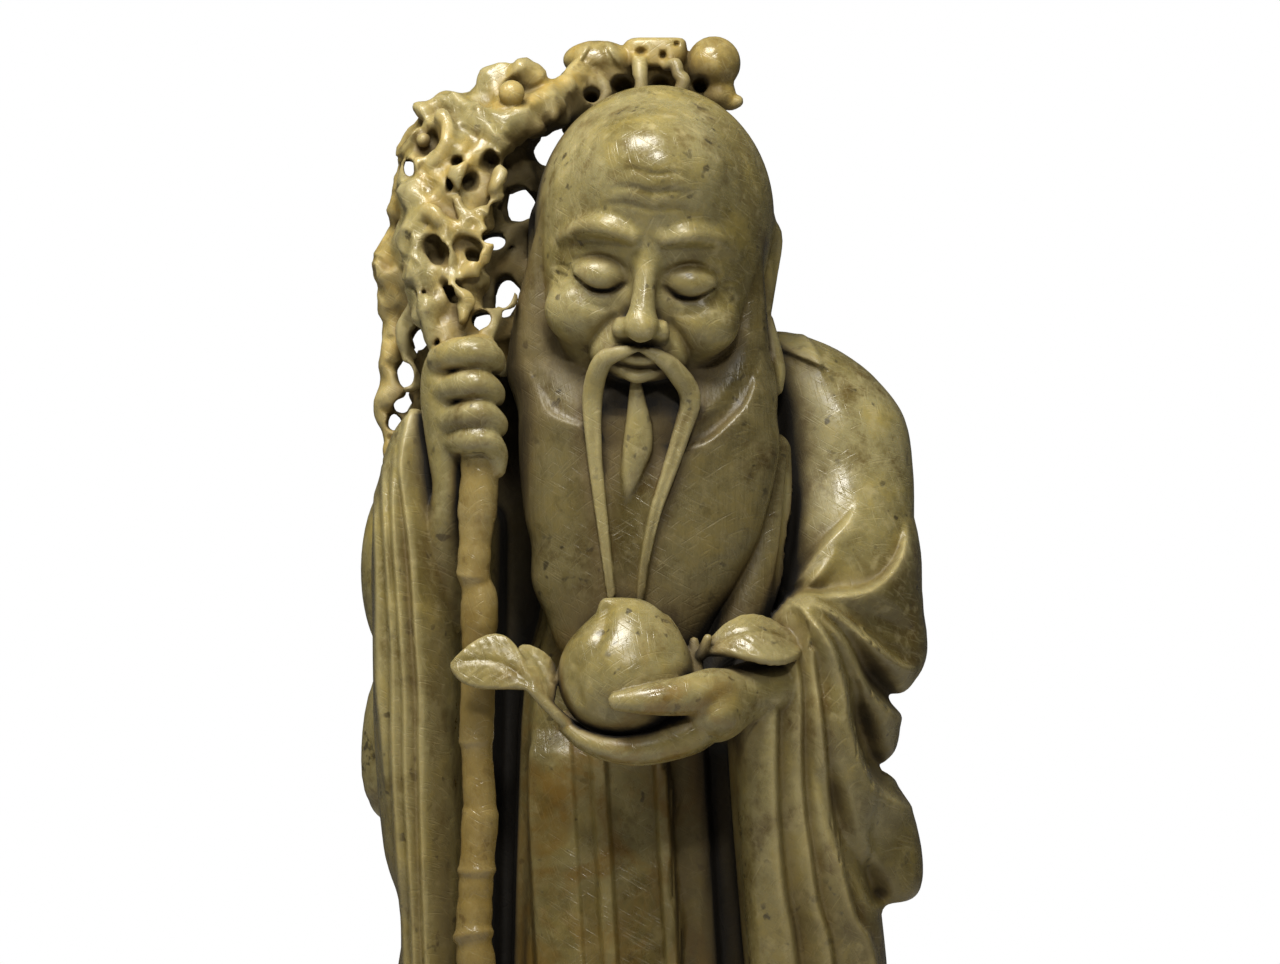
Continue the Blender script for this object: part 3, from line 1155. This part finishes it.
# %% [markdown]
# The staff is a rod with ring knots, and a rod with rings follows a rule: something repeats along a
# path. So Geometry Nodes make it, where an array or copies by hand would be stiffer to change. The
# host mesh is nothing but the path, with a point at each knot. The tree draws a wavy rod along it,
# sets a flattened, turned ball on each point, and joins them. Node trees are wired with a few
# helpers, which the materials use again.

# %% Helpers for node trees
def feed(tree, socket, value):
    """Set an input to a value, or link it to another node's output."""
    if isinstance(value, bpy.types.NodeSocket):
        tree.links.new(value, socket)
    else:
        socket.default_value = value


def node(tree, kind, *given, **values):
    """A node. Given values feed its inputs in order, and named ones the inputs of those names.

    A name in small letters is a setting of the node itself.
    """
    made = tree.nodes.new(kind)
    for name in [name for name in values if name.islower()]:
        setattr(made, name, values.pop(name))
    for socket, value in zip(made.inputs, given):
        feed(tree, socket, value)
    for name, value in values.items():
        label = name.replace("_", " ")
        feed(tree, next(s for s in made.inputs if s.enabled and s.name == label), value)
    return made


def calc(tree, operation, *values):
    return node(tree, "ShaderNodeMath", *values, operation=operation).outputs[0]


def noise(tree, place, scale, detail, roughness=0.5, distortion=0.0):
    return node(tree, "ShaderNodeTexNoise", Vector=place, Scale=scale, Detail=detail,
                Roughness=roughness, Distortion=distortion).outputs["Fac"]


def new_group(name, kind, inputs, outputs):
    """An empty node group, from rows of label, kind of socket and first value."""
    group = bpy.data.node_groups.new(name, kind)
    for in_out, rows in (("INPUT", inputs), ("OUTPUT", outputs)):
        for label, socket_kind, *first in rows:
            socket = group.interface.new_socket(label, in_out=in_out, socket_type="NodeSocket" + socket_kind)
            if first:
                socket.default_value = first[0]
    return group, group.nodes.new("NodeGroupInput").outputs, group.nodes.new("NodeGroupOutput").inputs


def placed(name, data):
    """A new object in the scene."""
    thing = bpy.data.objects.new(name, data)
    bpy.context.scene.collection.objects.link(thing)
    return thing


def made_by(modifier):
    """The points and triangles that a modifier makes of its object. Both go afterwards."""
    thing = modifier.id_data
    mesh = bpy.data.meshes.new_from_object(thing.evaluated_get(bpy.context.evaluated_depsgraph_get()))
    thing.modifiers.remove(modifier)
    bpy.data.objects.remove(thing)
    mesh.calc_loop_triangles()
    corners = np.empty(len(mesh.vertices) * 3, np.float32)
    mesh.vertices.foreach_get("co", corners)
    triangles = np.empty(len(mesh.loop_triangles) * 3, np.int32)
    mesh.loop_triangles.foreach_get("vertices", triangles)
    bpy.data.meshes.remove(mesh)
    return corners.reshape(-1, 3), triangles.reshape(-1, 3)


print("helpers: feed, node, calc, noise, new_group, placed and made_by")


# %% [markdown]
# The rings of the real staff are a finger's width apart, never quite even, and each leans its own
# way. So the tree takes their places from the path, and a fixed seed turns and sizes them. The
# result is melted into the grid, so that fist, leaf and rock still grip it as one stone.

# %% The knotted staff as a node tree
KNOT_HEIGHTS = (14, 27, 41, 58, 74, 88, 103, 118, 131, 146.6, 160, 178, 194, 212.4, 217.4, 229.9, 241,
                256, 272)
ROD_STEP = 1.4  # between rings of points along the rod
ROD_SIDES = 20
ROD_SEAM = 0.7
KNOT_TILT = 0.35
FULL_TURN = 6.28


def at_random(tree, kind, least, most, seed):
    made = node(tree, "FunctionNodeRandomValue", data_type=kind, Min=least, Max=most, Seed=seed)
    return next(socket for socket in made.outputs if socket.enabled)


def staff_tree():
    tree, given, out = new_group("knotted_staff", "GeometryNodeTree", [
        ("Geometry", "Geometry"), ("Radius", "Float"), ("Waviness", "Float"), ("Knot Width", "Float"),
        ("Knot Height", "Float"), ("Seed", "Int"), ("Material", "Material"),
    ], [("Geometry", "Geometry")])
    path = node(tree, "GeometryNodeMeshToCurve", Mesh=given["Geometry"]).outputs[0]
    fine = node(tree, "GeometryNodeResampleCurve", mode="LENGTH", Curve=path, Length=ROD_STEP).outputs[0]
    wavy = noise(tree, node(tree, "GeometryNodeInputPosition").outputs[0], 0.11, 3.0)
    thick = calc(tree, "MULTIPLY_ADD", calc(tree, "SUBTRACT", wavy, 0.5), given["Waviness"], given["Radius"])
    ring = node(tree, "GeometryNodeCurvePrimitiveCircle", Resolution=ROD_SIDES, Radius=1.0)
    rod = node(tree, "GeometryNodeCurveToMesh", Curve=fine, Profile_Curve=ring.outputs["Curve"],
               Scale=thick, Fill_Caps=True).outputs[0]
    ball = node(tree, "GeometryNodeMeshIcoSphere", Radius=1.0, Subdivisions=3).outputs["Mesh"]
    turn = at_random(tree, "FLOAT_VECTOR", (-KNOT_TILT, -KNOT_TILT, 0.0),
                     (KNOT_TILT, KNOT_TILT, FULL_TURN), given["Seed"])
    width = calc(tree, "MULTIPLY", given["Knot Width"], at_random(tree, "FLOAT", 0.86, 1.08, given["Seed"]))
    scale = node(tree, "ShaderNodeCombineXYZ", width, width, given["Knot Height"]).outputs[0]
    knots = node(tree, "GeometryNodeInstanceOnPoints", Points=given["Geometry"], Instance=ball,
                 Rotation=turn, Scale=scale).outputs[0]
    both = node(tree, "GeometryNodeJoinGeometry")
    feed(tree, both.inputs[0], rod)
    feed(tree, both.inputs[0], node(tree, "GeometryNodeRealizeInstances", Geometry=knots).outputs[0])
    dressed = node(tree, "GeometryNodeSetMaterial", Geometry=both.outputs[0], Material=given["Material"])
    feed(tree, out[0], dressed.outputs[0])
    return tree


def staff_mesh():
    """The staff's points and triangles, in millimetres."""
    path = []
    for i, z in enumerate(KNOT_HEIGHTS):
        sway = 0.7 * math.sin(i * 2.1) + 0.35 * math.sin(i * 5.3)
        path.append((STAFF_X + sway, STAFF_Y + 0.4 * sway, z))
    mesh = bpy.data.meshes.new("staff_path")
    mesh.from_pydata(path, [(i, i + 1) for i in range(len(path) - 1)], [])
    grown = placed("staff_path", mesh).modifiers.new("knotted_staff", "NODES")
    grown.node_group = staff_tree()
    sizes = {"Radius": STAFF_RADIUS * 0.93, "Waviness": 3.6, "Knot Width": STAFF_RADIUS * 1.08,
             "Knot Height": STAFF_RADIUS * 0.62, "Seed": 4}
    for socket in grown.node_group.interface.items_tree:
        if socket.in_out == "INPUT" and socket.name in sizes:
            grown[socket.identifier] = sizes[socket.name]
    return made_by(grown)


def melt_in(corners, triangles, blend, reach=4):
    """Join a closed mesh to the stone in the grid, with a soft seam, felt a few grid steps off."""
    at = ((corners - LOW) / STEP).astype(np.float32)
    shell = openvdb.FloatGrid.createLevelSetFromPolygons(
        at, triangles=triangles.astype(np.uint32), halfWidth=float(reach))
    low = np.maximum(np.floor(at.min(axis=0)).astype(int) - reach, 0)
    high = np.minimum(np.ceil(at.max(axis=0)).astype(int) + reach, field.shape)
    room = np.full(high - low, float(reach), np.float32)
    shell.copyToArray(room, ijk=tuple(int(v) for v in low))
    spot = tuple(slice(a, b) for a, b in zip(low, high))
    field[spot] = soft_min(field[spot], room * STEP, blend)


staff_corners, staff_triangles = staff_mesh()
melt_in(staff_corners, staff_triangles, ROD_SEAM)
print("staff of", len(staff_triangles), "triangles melted in after", round(time.time() - started, 1), "s")


# %% [markdown]
# The zero surface of the grid becomes a dense skin of small quads. A remesh would even the
# triangles out. Blender's Decimate modifier spends them where the carving needs them, and crumbs
# that the drills cut loose fall away.

# %% Skin the grid and thin it
MOST_TRIANGLES = 196_000
SKIN_BAND = 3  # grid steps on each side of the surface that the skinning needs


def skin():
    grid = openvdb.FloatGrid(float(SKIN_BAND) * STEP)
    grid.copyFromArray(np.clip(field, -SKIN_BAND * STEP, SKIN_BAND * STEP), tolerance=0.0)
    points, _, quads = grid.convertToPolygons(isovalue=0.0, adaptivity=0.0)
    places = (np.asarray(points, np.float32) * STEP + LOW).astype(np.float32)
    mesh = bpy.data.meshes.new("dense_stone")
    mesh.vertices.add(len(places))
    mesh.vertices.foreach_set("co", places.ravel())
    mesh.loops.add(4 * len(quads))
    mesh.loops.foreach_set("vertex_index", np.asarray(quads, np.int32).ravel())
    mesh.polygons.add(len(quads))
    mesh.polygons.foreach_set("loop_start", np.arange(len(quads), dtype=np.int32) * 4)
    mesh.update(calc_edges=True)
    thinning = placed("dense_stone", mesh).modifiers.new("thin", "DECIMATE")
    thinning.ratio = MOST_TRIANGLES / (2 * len(quads))
    print("dense skin of", len(quads), "quads after", round(time.time() - started, 1), "s")
    return made_by(thinning)


def largest_body(points, triangles):
    """Number each vertex by the lowest vertex that it hangs together with, and keep one body."""
    body = np.arange(len(points))
    while True:
        lowest = body[triangles].min(axis=1)
        joined = body.copy()
        for corner in range(3):
            np.minimum.at(joined, triangles[:, corner], lowest)
        joined = joined[joined]
        if (joined == body).all():
            break
        body = joined
    keep = np.bincount(body[triangles[:, 0]]).argmax()
    triangles = triangles[body[triangles[:, 0]] == keep]
    used, renumbered = np.unique(triangles, return_inverse=True)
    return points[used], renumbered.reshape(-1, 3).astype(np.int32)


points, triangles = largest_body(*skin())
print(len(triangles), "triangles after", round(time.time() - started, 1), "s")


# %% [markdown]
# The grid still knows more than the thinned mesh does. Its slope gives each vertex a true normal.
# Steps out along a fan of directions tell how much of the sky other stone hides, and a look a
# little way around tells a ridge from a crease. The material's own ambient occlusion and pointiness
# could do this for one renderer. Numbers at the vertices stay with the mesh.

# %% Read normals, shade and bulges from the grid
RAYS = 28
RAY_STEPS = (0.8, 1.6, 2.8, 4.4, 6.6, 9.5, 13, 18)
RAY_START = 0.7  # off the surface, so that a ray does not hit the stone that it leaves
RAY_SPREAD = 0.16  # how wide a ray is, as a share of its length


def sampled(places):
    """The field between its grid points."""
    at = (places - LOW) / STEP
    at = np.clip(at, 0, np.array(field.shape) - 1.001)
    base = at.astype(int)
    share = at - base
    total = np.zeros(len(places))
    for step in np.argwhere(np.ones((2, 2, 2))):
        weight = np.prod(np.where(step, share, 1 - share), axis=1)
        total += weight * field[tuple((base + step).T)]
    return total


def slopes(places, reach):
    pushes = np.eye(3) * reach
    slope = np.stack([sampled(places + push) - sampled(places - push) for push in pushes], axis=1)
    return slope / (np.linalg.norm(slope, axis=1, keepdims=True) + 1e-9)


def shade_of(places, normals):
    """The share of the sky over each place that other stone hides, near stone counting most."""
    turn = math.pi * (3 - math.sqrt(5))
    hidden = np.zeros(len(places))
    weights = np.zeros(len(places))
    for i in range(RAYS):
        z = 1 - (2 * i + 1) / RAYS
        flat = math.sqrt(1 - z * z)
        ray = np.array([flat * math.cos(turn * i), flat * math.sin(turn * i), z])
        facing = np.maximum(normals @ ray, 0)
        seen = np.flatnonzero(facing > 0.05)
        start = places[seen] + normals[seen] * RAY_START
        free = np.ones(len(seen))
        for far in RAY_STEPS:
            cell = ((start + ray * far - LOW) / STEP + 0.5).astype(int)
            cell = np.clip(cell, 0, np.array(field.shape) - 1)
            room = field[tuple(cell.T)] / (RAY_SPREAD * far)
            free = np.minimum(free, np.clip(room + 0.5, 0, 1))
        hidden[seen] += facing[seen] * (1 - free)
        weights[seen] += facing[seen]
    return hidden / (weights + 1e-6)


def roundness(places, reach):
    """How much the surface bulges (above 0) or dips (below 0) over a reach."""
    around = [sampled(places + push) for push in np.vstack([np.eye(3), -np.eye(3)]) * reach]
    return (np.mean(around, axis=0) - sampled(places)) / reach


normals = slopes(points, 0.8 * STEP)
normals[points[:, 2] < 0.05] = (0, 0, -1)
bulge = roundness(points, 1.5)
print("bulge from", bulge.min().round(2), "to", bulge.max().round(2))


# %% [markdown]
# Old grease sits in the creases and hollows, ridges are rubbed pale, the rim of the root is honey
# yellow, the beard is finely combed, the staff is redder than the robe, and rust brown patches lie
# on the front of the skirt. Painting such masks by hand would tie them to this one mesh. Here each
# comes from the forms, as a number at every vertex for the material to read. Shade, wear and crease
# are averaged with their neighbours, so that narrow grooves get no dark ticks.

# %% Masks at the vertices
BEARD_BACK = -12  # nothing further back than this is beard
WOOD_LOW = 245  # the root begins above this height


def nearness(form, off, wide):
    """1 on a form's surface, falling to 0 some way off it."""
    return 1 - ramp(np.abs(form.value(Spots(*points.T))), off, off + wide)


def smoothed(values, rounds):
    """The numbers at the vertices, each averaged with its neighbours a few times."""
    corners = triangles.ravel()
    shared = np.bincount(corners, minlength=len(values))
    for _ in range(rounds):
        on_face = values[triangles].mean(axis=1)
        values = np.bincount(corners, np.repeat(on_face, 3), len(values)) / shared
    return values


x, _, z = points.T
staff_line = [[STAFF_X, STAFF_Y, 240, STAFF_RADIUS], [STAFF_X, STAFF_Y, PLINTH_HEIGHT - 1, STAFF_RADIUS]]
MASKS = {
    "shade": smoothed(shade_of(points, normals), 4),
    "wear": smoothed(np.clip(bulge * 5.5 - 0.15, 0, 1), 1),
    "crease": smoothed(np.clip(-bulge * 7 - 0.1, 0, 1), 2),
    "honey": nearness(AMBER, 0.6, 3.5),
    "whiskers": nearness(BEARD, 0.3, 1.2) * (points[:, 1] < BEARD_BACK),
    "wood": nearness(ROOT, 0.8, 2.0) * (z > WOOD_LOW),
    "rod": nearness(strand(staff_line), 1.4, 1.4),
    "rust": ramp(x, -37, -32) * (1 - ramp(x, 16, 26)) * (1 - ramp(z, 180, 215)),
}
for name, values in MASKS.items():
    print(name, "from", values.min().round(2), "to", values.max().round(2), "mean", values.mean().round(3))


# %% [markdown]
# The piece itself is one mesh in metres, with the grid's normals and the masks on it. Recalculated
# normals would show the triangles, and the grid's do not.

# %% Make the piece
def stone_piece():
    mesh = bpy.data.meshes.new("carved_shou_lao")
    mesh.from_pydata((points * MM).tolist(), [], triangles.tolist())
    mesh.shade_smooth()
    for name, values in MASKS.items():
        mesh.attributes.new(name, "FLOAT", "POINT").data.foreach_set("value", values.astype(np.float32))
    mesh.normals_split_custom_set_from_vertices(normals.tolist())
    return placed("carved_shou_lao", mesh)


carved = stone_piece()
print("piece ready after", round(time.time() - started, 1), "s")


# %% [markdown]
# Soapstone is soft, greasy to the touch and slightly see-through. Three things make it: mottled
# colour, from grey green to straw, with dark grit; grease and dust in the hollows; and a polish
# that is glossy on the ridges and dull in the depths. A photograph of stone would repeat and
# stretch, so the colour is built from noises in the stone's own space, laid over each other by
# masks as glazes are.

# %% Helpers for tints
def remap(tree, value, from_low, from_high, to_low=0.0, to_high=1.0):
    return node(tree, "ShaderNodeMapRange", clamp=True, Value=value, From_Min=from_low,
                From_Max=from_high, To_Min=to_low, To_Max=to_high).outputs["Result"]


def blended(tree, factor, a, b, mode="MIX"):
    made = node(tree, "ShaderNodeMix", data_type="RGBA", blend_type=mode)
    for index, value in ((0, factor), (6, a), (7, b)):
        feed(tree, made.inputs[index], value)
    return made.outputs[2]


def glazed(tree, colour, layers):
    """Tints laid over a colour, from rows of mask, where it starts and is full, strength, tint."""
    for mask, start, full, strength, tint, *mode in layers:
        colour = blended(tree, remap(tree, mask, start, full, 0, strength), colour, tint, *mode)
    return colour


OLIVE = (0.20, 0.16, 0.05, 1)
GREY_GREEN = (0.38, 0.33, 0.155, 1)
STRAW = (0.45, 0.355, 0.10, 1)
BROWN = (0.12, 0.075, 0.017, 1)
RUST = (0.26, 0.155, 0.032, 1)
HONEY = (0.53, 0.36, 0.08, 1)
PALE = (0.58, 0.50, 0.26, 1)
SMOKY = (0.48, 0.46, 0.43, 1)
LOW_DOWN = (0.72, 0.68, 0.58, 1)
GREASE = (0.006, 0.0035, 0.001, 1)
GRIT = (0.06, 0.05, 0.03, 1)
HALF_DARK = (0.3, 0.3, 0.3, 1)
BLACK = (0, 0, 0, 1)
print("tints from", GREASE[:3], "to", PALE[:3])


# %% [markdown]
# Two effects are node groups, so that another part of this stone could share them. The first is the
# stone's own colour. The second is what years of handling do to it: fine scratches, shallow dents,
# and on the beard a grain that runs upright. Scratches are a noise stretched very long, turned
# three ways.

# %% The two shared effects
SCRATCH_SIZE = (0.007, 0.007, 0.0004)  # metres
SCRATCH_TURNS = (0.5, 1.2, 2.5)
SCRATCH_DEPTH = -0.35
GRAIN = (1100, 1100, 55)  # waves to the metre, few of them upwards


def mottled_stone():
    """Clouds of olive, grey green and straw, and specks of grit."""
    group, given, out = new_group("mottled_stone", "ShaderNodeTree", [("Place", "Vector", (0, 0, 0))],
                                  [("Color", "Color"), ("Cloud", "Float"), ("Patch", "Float")])
    place = given["Place"]
    drift = noise(group, place, 22.0, 5.0, 0.6, 0.6)
    cloudy = noise(group, place, 85.0, 7.0, 0.72)
    flecks = noise(group, place, 260.0, 4.0, 0.6)
    patches = noise(group, place, 46.0, 6.0, 0.65, 0.8)
    specks = remap(group, noise(group, place, 330.0, 2.0, 0.4), 0.64, 0.7)
    sparse = remap(group, noise(group, place, 60.0, 2.0), 0.47, 0.58, 0, 0.8)
    colour = glazed(group, OLIVE, [
        (drift, 0.38, 0.58, 1, GREY_GREEN), (cloudy, 0.5, 0.7, 0.75, STRAW),
        (cloudy, 0.48, 0.32, 0.85, BROWN), (flecks, 0.55, 0.7, 0.45, PALE),
        (flecks, 0.45, 0.3, 0.5, OLIVE), (calc(group, "MULTIPLY", specks, sparse), 0, 1, 1, GRIT),
    ])
    for label, value in (("Color", colour), ("Cloud", cloudy), ("Patch", patches)):
        feed(group, out[label], value)
    return group


def handled_surface():
    """Scratches, dents and the combed grain, as a height and as a mask of scratches."""
    group, given, out = new_group("handled_surface", "ShaderNodeTree",
                                  [("Place", "Vector", (0, 0, 0)), ("Combed", "Float", 0.0)],
                                  [("Height", "Float"), ("Scratches", "Float")])
    place = given["Place"]
    scratches = 0.0
    for spin in SCRATCH_TURNS:
        turned = node(group, "ShaderNodeMapping", vector_type="TEXTURE", Vector=place,
                      Rotation=(0.3 * spin, spin, 0), Scale=SCRATCH_SIZE).outputs[0]
        mark = remap(group, noise(group, turned, 1.0, 1.0), 0.62, 0.75)
        scratches = calc(group, "MAXIMUM", mark, scratches)
    dents = noise(group, place, 170.0, 5.0, 0.6)
    upright = node(group, "ShaderNodeMapping", Vector=place, Scale=GRAIN).outputs[0]
    combed = calc(group, "MULTIPLY", noise(group, upright, 1.0, 2.0), given["Combed"])
    lowered = calc(group, "MULTIPLY_ADD", scratches, SCRATCH_DEPTH, dents)
    feed(group, out["Height"], calc(group, "ADD", lowered, combed))
    feed(group, out["Scratches"], scratches)
    return group


print("effects: mottled_stone and handled_surface")


# %% [markdown]
# The material lays wear, smoke and grease over the stone in the order in which they came. It could
# be one flat green with a shine, but then the hollows would not read as old. The polish is dull
# where the shade mask is deep, and light travels two millimetres under the surface.

# %% The soapstone material
SEEN_THROUGH = 0.2
LIGHT_TRAVEL = 0.002  # metres
TRAVEL_BY_COLOUR = (1.0, 0.75, 0.35)
SOAPSTONE_IOR = 1.56
RELIEF_STRENGTH = 0.35
RELIEF_DEPTH = 0.0005  # metres


def soapstone():
    material = bpy.data.materials.new("soapstone")
    material.use_nodes = True
    tree = material.node_tree
    tree.nodes.clear()
    place = node(tree, "ShaderNodeTexCoord").outputs["Object"]
    mask = {name: node(tree, "ShaderNodeAttribute", attribute_name=name).outputs["Fac"] for name in MASKS}
    stone = node(tree, "ShaderNodeGroup", node_tree=mottled_stone(), Place=place).outputs
    surface = node(tree, "ShaderNodeGroup", node_tree=handled_surface(), Place=place,
                   Combed=mask["whiskers"]).outputs
    height = node(tree, "ShaderNodeSeparateXYZ", place).outputs["Z"]
    yellow = blended(tree, remap(tree, stone["Cloud"], 0.4, 0.62, 0.25, 1), BLACK, mask["honey"])
    rusty = calc(tree, "MULTIPLY", mask["rust"], remap(tree, stone["Patch"], 0.48, 0.62, 0, 0.85))
    sooty = blended(tree, remap(tree, mask["wood"], 0, 1, 0, 0.6), mask["shade"], HALF_DARK)
    colour = glazed(tree, stone["Color"], [
        (yellow, 0, 1, 0.85, HONEY), (mask["wear"], 0.1, 0.9, 0.4, PALE),
        (surface["Scratches"], 0, 1, 0.26, PALE), (mask["whiskers"], 0, 1, 1, SMOKY, "MULTIPLY"),
        (height, 0.23, 0.12, 1, LOW_DOWN, "MULTIPLY"), (rusty, 0, 1, 1, RUST),
        (mask["rod"], 0, 1, 0.42, RUST), (mask["crease"], 0.1, 0.9, 0.3, BROWN),
        (mask["shade"], 0.14, 0.5, 0.7, BROWN), (sooty, 0.36, 0.66, 0.99, GREASE),
    ])
    dull = remap(tree, mask["shade"], 0.06, 0.5, 0.22, 0.75)
    worn = remap(tree, stone["Cloud"], 0.35, 0.7, -0.05, 0.16)
    bump = node(tree, "ShaderNodeBump", Strength=RELIEF_STRENGTH, Distance=RELIEF_DEPTH,
                Height=surface["Height"])
    shader = node(tree, "ShaderNodeBsdfPrincipled", Base_Color=colour, Normal=bump.outputs["Normal"],
                  Roughness=calc(tree, "ADD", dull, worn), Subsurface_Weight=SEEN_THROUGH,
                  Subsurface_Radius=TRAVEL_BY_COLOUR, Subsurface_Scale=LIGHT_TRAVEL, IOR=SOAPSTONE_IOR)
    node(tree, "ShaderNodeOutputMaterial", Surface=shader.outputs["BSDF"])
    return material


carved.data.materials.append(soapstone())
print("soapstone of", len(carved.data.materials[0].node_tree.nodes), "nodes")


# %% [markdown]
# The piece stands for the CAD solid and rides on the one body of the frame. A copy of the solid
# left in sight would shine through it, so the frame is told what this piece replaces.

# %% Tie the piece to the frame
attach(carved, "root")
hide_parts("shou_lao_figure")
print("tied to the root")


# %% [markdown]
# A studio: a pale floor no wider than it has to be, white all around, a broad soft light from the
# upper front, a smaller one that draws the highlights, and little light from below, so that the
# hollows stay dark. A panorama would light it too, but its reflections would not be the softboxes
# that a small polished carving is shown under. The camera stands level with the beard, a good metre
# away.

# %% Floor, lights and camera
FLOOR_RADIUS = 0.7
FLOOR_GREY = (0.62, 0.61, 0.59, 1)
FLOOR_ROUGHNESS = 0.6
WHITE = (1, 1, 1, 1)
WARM = (1.0, 0.965, 0.88)
EYE_HEIGHT = 0.2395
EYE_DISTANCE = 1.05
EYE_SIDE = -0.00125
SEEN_WIDTH = 0.32  # width of the picture at the figure, in metres


def pale_floor():
    bpy.ops.mesh.primitive_circle_add(vertices=96, radius=FLOOR_RADIUS, fill_type="NGON")
    floor = bpy.context.object
    floor.name = "pale_floor"
    material = bpy.data.materials.new("pale_floor")
    material.use_nodes = True
    shader = material.node_tree.nodes["Principled BSDF"]
    shader.inputs["Base Color"].default_value = FLOOR_GREY
    shader.inputs["Roughness"].default_value = FLOOR_ROUGHNESS
    floor.data.materials.append(material)
    floor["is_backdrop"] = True


def area_light(name, place, aim, size, power):
    data = bpy.data.lights.new(name, "AREA")
    data.shape = "RECTANGLE"
    data.size, data.size_y = size
    data.energy = power
    data.color = WARM
    light = placed(name, data)
    light.location = place
    light.rotation_euler = (Vector(aim) - Vector(place)).to_track_quat("-Z", "Y").to_euler()


def white_world(felt_strength):
    """White where the camera looks past the figure, and much weaker as a light."""
    world = bpy.data.worlds.new("white_studio")
    world.use_nodes = True
    tree = world.node_tree
    tree.nodes.clear()
    looked_at = node(tree, "ShaderNodeLightPath").outputs["Is Camera Ray"]
    felt, seen = (node(tree, "ShaderNodeBackground", Color=WHITE, Strength=strength).outputs[0]
                  for strength in (felt_strength, 1.0))
    both = node(tree, "ShaderNodeMixShader", looked_at, felt, seen).outputs[0]
    node(tree, "ShaderNodeOutputWorld", Surface=both)
    bpy.context.scene.world = world


def camera():
    data = bpy.data.cameras.new("camera")
    data.sensor_width = 36.0
    data.lens = data.sensor_width * EYE_DISTANCE / SEEN_WIDTH
    eye = placed("camera", data)
    eye.location = (EYE_SIDE, -EYE_DISTANCE, EYE_HEIGHT)
    eye.rotation_euler = (math.radians(90), 0, 0)
    bpy.context.scene.camera = eye


pale_floor()
white_world(felt_strength=0.06)
area_light("broad_light", place=(-0.14, -0.34, 0.80), aim=(0, -0.02, 0.29), size=(0.32, 0.24), power=5.2)
area_light("spark_light", place=(0.06, -0.78, 0.7), aim=(0, 0, 0.28), size=(0.1, 0.08), power=1.9)
camera()
bpy.context.scene.view_settings.view_transform = "Standard"
print("camera", EYE_DISTANCE, "m in front, at", EYE_HEIGHT, "m")


# %% [markdown]
# The last cell writes down the two boxes, the solid's and the dressed figure's, so that they can be
# compared, and lets the frame check the scene.

# %% Write the sizes and finish
box = [list(corner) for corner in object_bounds()]
print("visual box", box, "after", round(time.time() - started, 1), "s")
